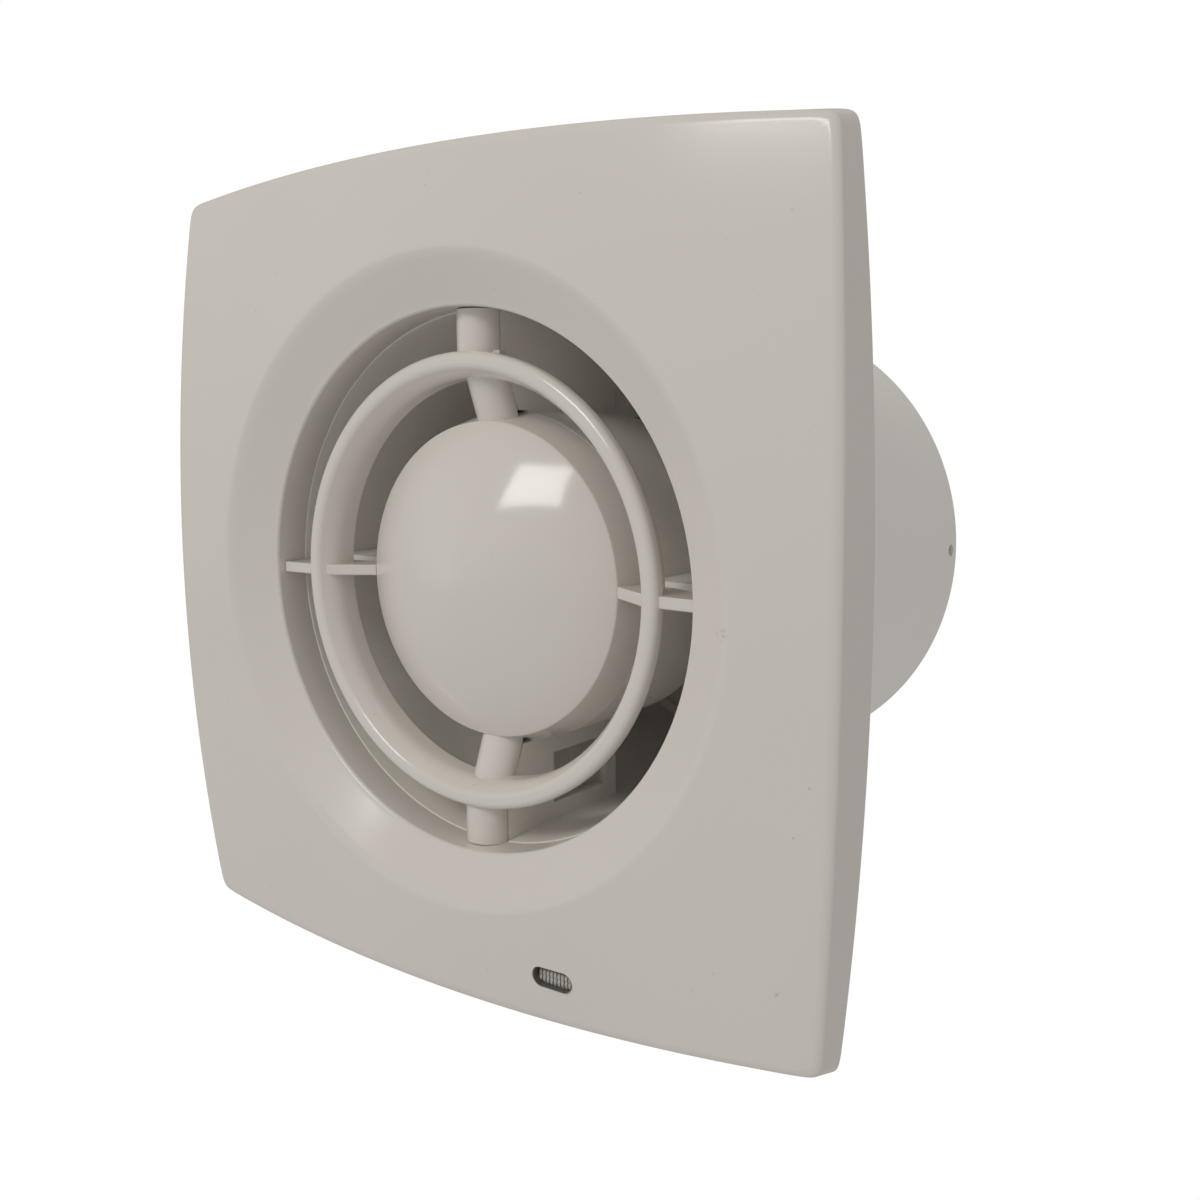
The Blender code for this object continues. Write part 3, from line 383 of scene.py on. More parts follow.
def soften(obj, width, steps=3, angle=35.0):
    """Rounds the edges sharper than an angle."""
    step = obj.modifiers.new("soft_edges", "BEVEL")
    step.width = width * MM
    step.segments = steps
    step.limit_method = "ANGLE"
    step.angle_limit = math.radians(angle)
    step.harden_normals = False
    settle(obj)
    smooth(obj, 50.0)


def finish_piece(obj, paint, body, replaced=()):
    obj.data.materials.clear()
    obj.data.materials.append(paint)
    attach(obj, body)
    if replaced:
        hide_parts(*replaced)


# ---------------------------------------------------------------- outlines

def side_reach(half, bulge, angle):
    """Distance from the centre to a bulged side whose middle lies at angle 0."""
    along, across = math.cos(angle), math.sin(angle)
    if along <= 0.01:
        return 1.0e6
    curve = bulge * across * across / (half * half)
    if curve < 1.0e-9:
        return (half + bulge) / along
    return (-along + math.sqrt(along * along + 4.0 * curve * (half + bulge))) / (2.0 * curve)


def square_reach(half, bulge, angle):
    """Distance from the centre to the outline of a square with bulged sides and soft corners."""
    total = 0.0
    for quarter in range(4):
        reach = side_reach(half, bulge, angle - quarter * math.pi / 2.0)
        total += reach ** -CORNER_POWER
    return total ** (-1.0 / CORNER_POWER)


def plate_angles(steps=40):
    """Angles that crowd towards the four corners, the same on every ring of a plate."""
    half_side = [45.0 * (1.0 - (1.0 - i / steps) ** 2.0) for i in range(steps)]
    eighth = half_side + [45.0] + [90.0 - a for a in reversed(half_side[1:])]
    return [math.radians(90.0 * quarter + a) for quarter in range(4) for a in eighth]


ANGLES = plate_angles()


def ring_point(reach, angle, y):
    x, z = reach * math.cos(angle), reach * math.sin(angle)
    return (x, y(x, z) if callable(y) else y, z)


def plate_ring(half, bulge, y, inset=0.0):
    """A ring round the square outline; y is a number or a function of (x, z)."""
    return [ring_point(square_reach(half, bulge, angle) - inset, angle, y) for angle in ANGLES]


def plate_circle(radius, y):
    return [ring_point(radius, angle, y) for angle in ANGLES]


def face_ring(share, y):
    """A ring of the front face, a share of the way from the dish's edge to the bevel."""
    ring = []
    for angle in ANGLES:
        far = square_reach(COVER_FRONT_HALF, COVER_FRONT_BULGE, angle) - BEVEL_INSET
        ring.append(ring_point(DISH_OUTER_R + share * (far - DISH_OUTER_R), angle, y))
    return ring


def face_y(x, z):
    """The crowned front face: it stands furthest into the room near the dish."""
    return -(FACE_CROWN - FACE_FALL * (x * x + z * z))


def below_face(drop):
    return lambda x, z: face_y(x, z) + drop


def stadium(x, z, length, height, segments=24):
    """The outline of a slot with round ends, as (x, z) points."""
    radius = height / 2.0
    reach = length / 2.0 - radius
    outline = []
    for side, first in ((1.0, -math.pi / 2.0), (-1.0, math.pi / 2.0)):
        for i in range(segments + 1):
            angle = first + math.pi * i / segments
            outline.append((x + side * reach + radius * math.cos(angle), z + radius * math.sin(angle)))
    return outline


def on_diagonal(reach, across, quarter=-1):
    """The (x, z) of a point along a diagonal; quarter -1 is lower right, 0 upper right."""
    angle = math.radians(45.0 + 90.0 * quarter)
    return (
        reach * math.cos(angle) - across * math.sin(angle),
        reach * math.sin(angle) + across * math.cos(angle),
    )


# ---------------------------------------------------------------- materials

class Nodes:
    """A short way to write a material's node tree."""

    def __init__(self, name):
        self.material = bpy.data.materials.new(name)
        self.material.use_nodes = True
        self.tree = self.material.node_tree
        self.shader = self.tree.nodes["Principled BSDF"]
        self.coordinates = self.tree.nodes.new("ShaderNodeTexCoord").outputs["Object"]

    def add(self, kind, **settings):
        node = self.tree.nodes.new(kind)
        for key, value in settings.items():
            setattr(node, key, value)
        return node

    def link(self, output, socket):
        self.tree.links.new(output, socket)

    def noise(self, scale, detail=3.0, roughness=0.5, stretch=None):
        node = self.add("ShaderNodeTexNoise")
        node.inputs["Scale"].default_value = scale
        node.inputs["Detail"].default_value = detail
        node.inputs["Roughness"].default_value = roughness
        source = self.coordinates
        if stretch:
            mapping = self.add("ShaderNodeMapping")
            mapping.inputs["Scale"].default_value = stretch
            self.link(self.coordinates, mapping.inputs["Vector"])
            source = mapping.outputs["Vector"]
        self.link(source, node.inputs["Vector"])
        return node.outputs["Fac"]

    def bands(self, direction, scale, distortion):
        node = self.add("ShaderNodeTexWave", wave_type="BANDS", bands_direction=direction)
        node.inputs["Scale"].default_value = scale
        node.inputs["Distortion"].default_value = distortion
        self.link(self.coordinates, node.inputs["Vector"])
        return node.outputs["Fac"]

    def ramp(self, value, low, high, to_low, to_high):
        node = self.add("ShaderNodeMapRange")
        for label, number in (
            ("From Min", low), ("From Max", high), ("To Min", to_low), ("To Max", to_high),
        ):
            node.inputs[label].default_value = number
        self.link(value, node.inputs["Value"])
        return node.outputs["Result"]

    def math(self, operation, first, second):
        node = self.add("ShaderNodeMath", operation=operation)
        for socket, value in zip(node.inputs, (first, second)):
            if isinstance(value, (int, float)):
                socket.default_value = value
            else:
                self.link(value, socket)
        return node.outputs["Value"]

    def mix(self, factor, first, second):
        node = self.add("ShaderNodeMix", data_type="RGBA")
        self.link(factor, node.inputs["Factor"])
        for label, value in (("A", first), ("B", second)):
            socket = [s for s in node.inputs if s.name == label and s.type == "RGBA"][0]
            if isinstance(value, tuple):
                socket.default_value = (*value, 1.0)
            else:
                self.link(value, socket)
        return [s for s in node.outputs if s.type == "RGBA"][0]

    def bump(self, height, strength, distance, normal=None):
        node = self.add("ShaderNodeBump")
        node.inputs["Strength"].default_value = strength
        node.inputs["Distance"].default_value = distance
        self.link(height, node.inputs["Height"])
        if normal:
            self.link(normal, node.inputs["Normal"])
        return node.outputs["Normal"]

    def surface(self, tint, roughness):
        self.link(tint, self.shader.inputs["Base Color"])
        self.link(roughness, self.shader.inputs["Roughness"])

    def near(self, x, z, radius):
        """1 close to a spot on the front face, falling to 0 at the radius, all in millimetres."""
        node = self.add("ShaderNodeVectorMath", operation="DISTANCE")
        flat = self.add("ShaderNodeVectorMath", operation="MULTIPLY")
        flat.inputs[1].default_value = (1.0, 0.0, 1.0)
        self.link(self.coordinates, flat.inputs[0])
        self.link(flat.outputs["Vector"], node.inputs[0])
        node.inputs[1].default_value = (x * MM, 0.0, z * MM)
        return self.ramp(node.outputs["Value"], radius * MM * 0.4, radius * MM, 1.0, 0.0)


def shade(colour, amount):
    return tuple(channel * amount for channel in colour)


def moulded_plastic(name, colour, roughness, grain=0.05, specks=0.5, scuffs=(), shine=0.5):
    """Moulded ABS: a faint cloud in the tint, a fine grain, a few dust specks and given scuffs."""
    nodes = Nodes(name)
    shader = nodes.shader
    cloud = nodes.ramp(nodes.noise(14.0, 2.0), 0.1, 0.9, 0.0, 1.0)
    tint = nodes.mix(cloud, shade(colour, 0.97), shade(colour, 1.03))
    dust = nodes.ramp(nodes.noise(900.0, 1.0), 0.79, 0.84, 0.0, specks)
    tint = nodes.mix(dust, tint, shade(colour, 0.55))
    for x, z, radius in scuffs:
        scratches = nodes.ramp(nodes.noise(1500.0, 3.0, 0.7), 0.55, 0.62, 0.0, 0.55)
        mark = nodes.math("MULTIPLY", nodes.near(x, z, radius), scratches)
        tint = nodes.mix(mark, tint, shade(colour, 0.5))
    wear = nodes.noise(45.0, 3.0, 0.5)
    nodes.surface(tint, nodes.ramp(wear, 0.1, 0.9, roughness * 0.88, roughness * 1.12))
    if grain:
        nodes.link(nodes.bump(nodes.noise(1400.0, 2.0), grain, 0.00003), shader.inputs["Normal"])
    shader.inputs["IOR"].default_value = 1.5
    shader.inputs["Specular IOR Level"].default_value = shine
    return nodes.material


def bare_metal(name, colour, roughness, stretch, scale=300.0, lines=0.25):
    """Drawn, rolled or plated metal with fine streaks and some tarnish."""
    nodes = Nodes(name)
    shader = nodes.shader
    streak = nodes.noise(scale, 4.0, 0.6, stretch)
    tarnish = nodes.noise(90.0, 3.0)
    tint = nodes.mix(nodes.ramp(tarnish, 0.35, 0.75, 0.0, 1.0), colour, shade(colour, 0.72))
    tint = nodes.mix(nodes.ramp(streak, 0.4, 0.65, 0.0, lines), tint, shade(colour, 0.6))
    nodes.surface(tint, nodes.ramp(streak, 0.3, 0.7, roughness - 0.06, roughness + 0.12))
    nodes.link(nodes.bump(streak, 0.3, 0.00003), shader.inputs["Normal"])
    shader.inputs["Metallic"].default_value = 1.0
    return nodes.material


def layered_steel(name, colour):
    """Laminations: thin sheets stacked along Y, with a dark line between them."""
    nodes = Nodes(name)
    shader = nodes.shader
    sheet = nodes.bands("Y", 320.0, 0.2)
    rust = nodes.noise(200.0, 4.0)
    tint = nodes.mix(nodes.ramp(rust, 0.55, 0.75, 0.0, 0.5), colour, (0.24, 0.15, 0.09))
    tint = nodes.mix(nodes.ramp(sheet, 0.0, 0.25, 1.0, 0.0), tint, shade(colour, 0.3))
    nodes.surface(tint, nodes.ramp(rust, 0.3, 0.7, 0.36, 0.6))
    nodes.link(nodes.bump(sheet, 0.5, 0.0001), shader.inputs["Normal"])
    shader.inputs["Metallic"].default_value = 0.9
    return nodes.material


def wound_copper(name, colour):
    """Enamelled wire laid in rows round each pole."""
    nodes = Nodes(name)
    shader = nodes.shader
    strand = nodes.bands("DIAGONAL", 520.0, 1.2)
    tint = nodes.mix(nodes.ramp(strand, 0.1, 0.7, 0.0, 1.0), shade(colour, 0.35), colour)
    nodes.surface(tint, nodes.ramp(strand, 0.0, 1.0, 0.5, 0.28))
    nodes.link(nodes.bump(strand, 0.8, 0.00015), shader.inputs["Normal"])
    shader.inputs["Metallic"].default_value = 0.85
    return nodes.material


def rib_shade(nodes):
    """Painted shade: 1 along the grooves between the lens's upright ribs, and nearly so along its top."""
    place = nodes.add("ShaderNodeSeparateXYZ")
    nodes.link(nodes.coordinates, place.inputs["Vector"])
    turn = nodes.ramp(
        place.outputs["X"], (LENS_X - LENS_LENGTH) * MM, (LENS_X + LENS_LENGTH) * MM,
        -math.pi * LENS_LENGTH / LENS_PITCH, math.pi * LENS_LENGTH / LENS_PITCH,
    )
    ridge = nodes.math("ABSOLUTE", nodes.math("SINE", turn, 0.0), 0.0)
    # Painted shade in the grooves between the ribs.
    groove_shade = nodes.ramp(ridge, 0.2, 0.6, 1.0, 0.0)
    # Painted shade along the lens's top row.
    top = nodes.ramp(place.outputs["Z"], (LENS_Z + 0.4) * MM, (LENS_Z + 0.7) * MM, 0.0, 0.75)
    return nodes.math("MAXIMUM", groove_shade, top)


def clear_plastic(name, colour, transmission, ribbed=False):
    """Clear plastic with a slight haze; ribbed paints shade into the lens, in the grooves between its ribs
    and along its top.
    """
    nodes = Nodes(name)
    shader = nodes.shader
    haze = nodes.noise(700.0, 2.0)
    if ribbed:
        # Painted shade: the grooves and the top darken to an eighth of the lens colour.
        tint = nodes.mix(rib_shade(nodes), colour, shade(colour, 0.12))
    else:
        tint = nodes.mix(nodes.ramp(haze, 0.3, 0.7, 0.0, 1.0), shade(colour, 0.9), colour)
    nodes.surface(tint, nodes.ramp(haze, 0.3, 0.7, 0.05, 0.14))
    shader.inputs["Transmission Weight"].default_value = transmission
    shader.inputs["IOR"].default_value = 1.49
    return nodes.material


def soft_rubber(name, colour):
    """Dull black rubber with a fine grain and a pale bloom."""
    nodes = Nodes(name)
    grain = nodes.noise(1200.0, 3.0)
    bloom = nodes.noise(80.0, 3.0)
    tint = nodes.mix(nodes.ramp(bloom, 0.4, 0.7, 0.0, 0.5), colour, shade(colour, 2.2))
    nodes.surface(tint, nodes.ramp(grain, 0.3, 0.7, 0.6, 0.8))
    nodes.link(nodes.bump(grain, 0.3, 0.00005), nodes.shader.inputs["Normal"])
    return nodes.material


WARM_WHITE = (0.790, 0.742, 0.700)
INNER_WHITE = (0.930, 0.892, 0.846)

PAINTS = {
    "cover_plastic": moulded_plastic(
        "cover_plastic", WARM_WHITE, 0.17, 0.0, scuffs=((55.5, -2.7, 1.5), (64.0, -56.7, 1.5))
    ),
    "gloss_plastic": moulded_plastic("gloss_plastic", WARM_WHITE, 0.12, 0.0, 0.4, shine=0.58),
    "casing_plastic": moulded_plastic("casing_plastic", INNER_WHITE, 0.34, 0.08),
    "impeller_plastic": moulded_plastic("impeller_plastic", shade(INNER_WHITE, 0.99), 0.36, 0.08),
    "flap_plastic": moulded_plastic("flap_plastic", shade(INNER_WHITE, 0.98), 0.4, 0.1),
    "terminal_plastic": moulded_plastic("terminal_plastic", (0.74, 0.73, 0.68), 0.42, 0.1),
    "steel": bare_metal("steel", (0.62, 0.62, 0.63), 0.28, (1.0, 9.0, 1.0)),
    "spring_steel": bare_metal("spring_steel", (0.55, 0.55, 0.57), 0.25, (4.0, 1.0, 1.0)),
    "laminations": layered_steel("laminations", (0.30, 0.31, 0.34)),
    "copper": wound_copper("copper", (0.72, 0.33, 0.15)),
    "rotor_metal": bare_metal("rotor_metal", (0.60, 0.61, 0.63), 0.38, (1.0, 14.0, 1.0)),
    "bronze": bare_metal("bronze", (0.60, 0.42, 0.22), 0.46, (1.0, 1.0, 1.0), 900.0),
    "zinc_screw": bare_metal("zinc_screw", (0.68, 0.67, 0.60), 0.3, (1.0, 1.0, 6.0)),
    "clear_lens": clear_plastic("clear_lens", (0.88, 0.86, 0.83), 0.35, True),
    # Near black: painted shade for the walls of the lamp window.
    "window_shade_paint": moulded_plastic("window_shade_paint", (0.13, 0.11, 0.095), 0.3, 0.1, 0.1),
    "neon_glass": clear_plastic("neon_glass", (0.95, 0.62, 0.45), 0.8),
    "grommet_rubber": soft_rubber("grommet_rubber", (0.03, 0.03, 0.03)),
    "brown_lead": moulded_plastic("brown_lead", (0.17, 0.07, 0.03), 0.42, 0.2, 0.2),
    "blue_lead": moulded_plastic("blue_lead", (0.03, 0.09, 0.28), 0.42, 0.2, 0.2),
}

CAD_PAINTS = {
    "neon_glass": ["neon_lamp"],
    "laminations": ["motor_stator"],
    "copper": [f"stator_coil_{number}" for number in range(1, 5)],
    "bronze": ["front_bearing_bush", "rear_bearing_bush"],
    "rotor_metal": ["motor_rotor"],
    "steel": ["front_bearing_bracket", "rear_bearing_bracket", "motor_shaft", "impeller_clip"],
    "zinc_screw": [
        "motor_tie_screw_upper", "motor_tie_screw_lower", "clamp_screw_left", "clamp_screw_right",
        "terminal_screw_1", "terminal_screw_2", "terminal_screw_3",
    ],
    "terminal_plastic": ["terminal_block", "cable_clamp"],
    "brown_lead": ["live_lead"],
    "blue_lead": ["neutral_lead"],
}


def paint_cad_nodes(frame):
    """Gives each CAD node that stays visible its finished material."""
    for paint, nodes in CAD_PAINTS.items():
        for node in nodes:
            materials = frame["nodes"][node].data.materials
            materials.clear()
            materials.append(PAINTS[paint])


# ---------------------------------------------------------------- cover

def make_front_shell():
    dish_rise = face_y(DISH_OUTER_R, 0.0) - DISH_INNER_Y
    lip_centre_r = THROAT_R + LIP_RADIUS
    lip_centre_y = DISH_INNER_Y + LIP_RADIUS * math.sin(LIP_TURN)
    rings = [
        plate_circle(THROAT_R + 0.03, THROAT_END_Y),
        plate_circle(THROAT_R, THROAT_END_Y - 0.03),
        plate_circle(THROAT_R, -2.0),
    ]
    for i in range(9):
        angle = LIP_TURN * i / 8
        radius = lip_centre_r - LIP_RADIUS * math.cos(angle)
        rings.append(plate_circle(radius, lip_centre_y - LIP_RADIUS * math.sin(angle)))
    start_r = lip_centre_r - LIP_RADIUS * math.cos(LIP_TURN)
    for i in range(1, 12):
        share = i / 12
        radius = start_r + share * (DISH_OUTER_R - 0.5 - start_r)
        rings.append(plate_circle(radius, DISH_INNER_Y + dish_rise * share))
    rings += [
        plate_circle(DISH_OUTER_R - 0.5, below_face(0.20)),
        plate_circle(DISH_OUTER_R - 0.15, below_face(0.05)),
        plate_circle(DISH_OUTER_R + 0.25, face_y),
    ]
    rings += [face_ring(i / 10, face_y) for i in range(1, 11)]
    for i in range(1, 10):
        angle = math.pi / 2.0 * i / 9
        inset = BEVEL_INSET * (1.0 - math.sin(angle))
        drop = BEVEL_DROP * (1.0 - math.cos(angle))
        rings.append(plate_ring(COVER_FRONT_HALF, COVER_FRONT_BULGE, below_face(drop), inset))
    for share in (0.35, 0.7, 0.96):
        half = COVER_FRONT_HALF + share * (COVER_HALF - COVER_FRONT_HALF)
        bulge = COVER_FRONT_BULGE + share * (COVER_BULGE - COVER_FRONT_BULGE)
        rings.append(
            plate_ring(half, bulge, lambda x, z, s=share: (face_y(x, z) + BEVEL_DROP) * (1.0 - s))
        )
    inner_face = below_face(COVER_WALL)
    throat_outer_r = THROAT_R + THROAT_WALL
    rings += [
        plate_ring(COVER_HALF, COVER_BULGE, 0.0, 0.15),
        plate_ring(COVER_HALF, COVER_BULGE, 0.0, COVER_WALL),
        plate_ring(COVER_FRONT_HALF, COVER_FRONT_BULGE, below_face(COVER_WALL + 1.2), COVER_WALL),
        face_ring(0.9, inner_face),
        face_ring(0.4, inner_face),
        plate_circle(DISH_OUTER_R + 0.8, inner_face),
        plate_circle(DISH_MIDDLE_R, DISH_MIDDLE_Y + COVER_WALL),
        plate_circle(throat_outer_r, THROAT_BACK_Y),
        plate_circle(throat_outer_r, THROAT_END_Y - 0.15),
        plate_circle(throat_outer_r - 0.15, THROAT_END_Y),
    ]
    shell = loft("front_shell", rings)
    window = prism("lamp_window", stadium(LENS_X, LENS_Z, LENS_LENGTH, LENS_HEIGHT), -16.0, -4.0)
    sink = SCREW_HEAD_Z + SCREW_HEAD_R - SCREW_R
    profile = [(SCREW_SINK_R, SCREW_HEAD_Z - 3.0), (SCREW_SINK_R, SCREW_HEAD_Z)]
    profile += [(SCREW_WAY_R, sink), (SCREW_WAY_R, SCREW_HEAD_Z + 5.0)]
    screw_way = upright_lathe("screw_way", profile)
    cut(shell, [window, screw_way])
    smooth(shell)
    finish_piece(shell, PAINTS["cover_plastic"], CASING, ["front_cover"])


def make_lamp_window():
    """A near-black sleeve on the window's walls, which paints their shade, and the ribbed lens at the back of
    it.
    """
    face = face_y(LENS_X, LENS_Z)
    outer = stadium(LENS_X, LENS_Z, LENS_LENGTH - 0.02, LENS_HEIGHT - 0.02)
    inner = stadium(LENS_X, LENS_Z, LENS_LENGTH - 2.0 * SLEEVE_SKIN, LENS_HEIGHT - 2.0 * SLEEVE_SKIN)
    rings = [
        [(x, face + 0.12, z) for x, z in inner],
        [(x, face + 0.05, z) for x, z in outer],
        [(x, face + 2.2, z) for x, z in outer],
        [(x, face + 2.2, z) for x, z in inner],
    ]
    # The sleeve's near-black colour is painted shade on the window's walls.
    sleeve = loft("lamp_window_shade", rings)
    finish_piece(sleeve, PAINTS["window_shade_paint"], CASING)
    make_ribbed_lens(face + LENS_INSET)


def make_ribbed_lens(front):
    """A clear stadium whose front is a grid of small pillows: upright ribs crossed by two grooves."""
    length, height = LENS_LENGTH - 0.4, LENS_HEIGHT - 0.4
    columns, rows = 84, 36
    radius = height / 2.0
    pitch_z = 1.05
    points, faces = [], []
    for j in range(rows + 1):
        z = -radius + height * j / rows
        half = length / 2.0 - radius + math.sqrt(max(radius * radius - z * z, 0.0004))
        for i in range(columns + 1):
            x = -half + 2.0 * half * i / columns
            pillow = 0.22 * abs(math.sin(math.pi * x / LENS_PITCH)) ** 0.8
            pillow += 0.10 * abs(math.cos(math.pi * z / pitch_z))
            points.append((LENS_X + x, front + 0.30 - pillow, LENS_Z + z))
    across = columns + 1
    for j in range(rows):
        for i in range(columns):
            low = j * across + i
            faces.append((low, low + 1, low + across + 1, low + across))
    offset = len(points)
    points += [(x, front + 1.6, z) for x, _, z in points]
    faces += [tuple(offset + index for index in reversed(face)) for face in faces]
    edge = list(range(across))
    edge += [j * across + columns for j in range(1, rows + 1)]
    edge += [rows * across + i for i in range(columns - 1, -1, -1)]
    edge += [j * across for j in range(rows - 1, 0, -1)]
    for k, here in enumerate(edge):
        after = edge[(k + 1) % len(edge)]
        faces.append((here, here + offset, after + offset, after))
    lens = add_object("lamp_lens", mesh_from("lamp_lens", points, faces), 60.0)
    finish_piece(lens, PAINTS["clear_lens"], CASING, ["indicator_lens"])


def make_cover_screw():
    """A countersunk screw with a cross slot, seen from below the cover."""
    neck = SCREW_HEAD_Z + SCREW_HEAD_R - SCREW_R
    profile = [
        (0.02, SCREW_HEAD_Z), (SCREW_HEAD_R - 0.12, SCREW_HEAD_Z), (SCREW_HEAD_R, SCREW_HEAD_Z + 0.12),
        (SCREW_R, neck), (SCREW_R, SCREW_HEAD_Z + 5.2),
        (0.3, SCREW_HEAD_Z + 5.7), (0.02, SCREW_HEAD_Z + 5.75),
    ]
    screw = upright_lathe("cover_screw_head", profile)
    low, high = SCREW_HEAD_Z - 1.0, SCREW_HEAD_Z + 0.6
    long_slot = block("long_slot", (-1.5, SCREW_Y - 0.25, low), (1.5, SCREW_Y + 0.25, high))
    cross_slot = block("cross_slot", (-0.25, SCREW_Y - 1.5, low), (0.25, SCREW_Y + 1.5, high))
    cut(screw, [long_slot, cross_slot])
    smooth(screw)
    finish_piece(screw, PAINTS["zinc_screw"], CASING, ["cover_screw"])


# ---------------------------------------------------------------- grille and nose

def half_round(name, r_start, r_end, y_start, y_end, sign, steps=20):
    """One half-round length of an arm, open behind; its seam edge runs from y_start to y_end."""
    outline = []
    for i in range(steps + 1):
        angle = math.pi * i / steps
        outline.append((ARM_RADIUS * math.cos(angle), -ARM_RADIUS * math.sin(angle)))
    inner = ARM_RADIUS - ARM_WALL
    for i in range(steps + 1):
        angle = math.pi * (steps - i) / steps
        outline.append((inner * math.cos(angle), -inner * math.sin(angle)))
    rings = []
    for reach, seam in ((r_start, y_start), (r_end, y_end)):
        rings.append([(x, seam + y, sign * reach) for x, y in outline])
    return loft(name, rings, False)


def fin(name, side):
    """A thin side fin from the nose cap to the throat, which passes under the ring's sleeve."""
    outline = [
        (ARM_END_R, -3.8),
        (RING_SLEEVE_R, -3.2),
        (RING_INNER_R, -2.4),
        (NOSE_R + 0.2, 2.0),
        (NOSE_R + 0.2, 3.2),
        (NOSE_R + 1.75, 7.1),
        (RING_INNER_R - 2.0, 7.1),
        (RING_SLEEVE_R + 1.2, 6.0),
        (ARM_END_R, 0.8),
    ]
    half, edge = FIN_HALF, FIN_EDGE
    rings = []
    for z, inset in ((-half, edge), (-half + edge, 0.0), (half - edge, 0.0), (half, edge)):
        rings.append([(side * r, y + (inset if y < 2.5 else -inset), z) for r, y in outline])
    return loft(name, rings, False)


def make_grille():
    profile = rounded(
        [
            (RING_INNER_R, RING_LIP_Y, 6.5),
            (RING_INNER_R + 1.8, RING_FRONT_Y, 1.4),
            (RING_OUTER_R, RING_FRONT_Y, 1.5),
            (RING_OUTER_R, RING_LIP_Y, 1.3),
            (RING_SLEEVE_R, RING_LIP_Y + 0.3, 0.4),
            (RING_SLEEVE_R, RING_END_Y, 0.35),
            (RING_INNER_R, RING_END_Y, 0.35),
        ],
        9,
    )
    ring = lathe("ring_grille", profile, FINE)
    parts = []
    for label, sign in (("top", 1.0), ("bottom", -1.0)):
        parts.append(
            half_round(f"{label}_outer", RING_SLEEVE_R - 0.6, ARM_END_R, ARM_OUTER_Y, ARM_OUTER_Y, sign)
        )
        parts.append(
            half_round(f"{label}_inner", NOSE_R - 0.4, RING_INNER_R + 0.7, ARM_NOSE_Y + 0.6, ARM_RING_Y, sign)
        )
        reach = sorted((sign * (RING_SLEEVE_R - 0.2), sign * COLLAR_R))
        low = (-COLLAR_HALF, COLLAR_START_Y, reach[0])
        parts.append(block(f"{label}_collar", low, (COLLAR_HALF, ARM_OUTER_Y, reach[1])))
    parts += [fin("left_fin", -1.0), fin("right_fin", 1.0)]
    join(ring, parts)
    smooth(ring)
    finish_piece(ring, PAINTS["gloss_plastic"], CASING, ["inlet_grille"])


def make_nose():
    """A low cone with a soft tip and a crisp shoulder, and a skirt that widens to the motor support."""
    steps = 28
    outer = []
    for i in range(steps + 1):
        share = i / steps
        lift = NOSE_HEIGHT * (1.0 - 0.62 * math.hypot(share, 0.06) - 0.38 * share ** 3)
        outer.append((max(NOSE_R * share, 0.02), NOSE_CREASE_Y - max(lift, 0.0)))
    outer.insert(-1, (NOSE_R - 0.2, NOSE_CREASE_Y - 0.13))
    outer.append((NOSE_R + 0.1, NOSE_CREASE_Y + 0.1))
    skirt_y = NOSE_CREASE_Y + 0.25
    for share in (0.0, 0.04, 0.15, 0.3, 0.45, 0.6, 0.75, 0.9, 1.0):
        outer.append(
            (NOSE_R + 0.16 + (NOSE_SKIRT_R - NOSE_R - 0.16) * share, skirt_y + (NOSE_END_Y - skirt_y) * share)
        )
    inner = [
        (NOSE_SKIRT_R - 1.5, NOSE_END_Y),
        (NOSE_R - 1.2, NOSE_CREASE_Y + 1.4),
        (NOSE_R - 8.0, NOSE_CREASE_Y - 1.4),
        (0.02, NOSE_CREASE_Y - NOSE_HEIGHT + 2.6),
    ]
    nose = lathe("nose_dome", outer + inner, FINE, False)
    finish_piece(nose, PAINTS["gloss_plastic"], CASING, ["nose_cap"])


# ---------------------------------------------------------------- casing

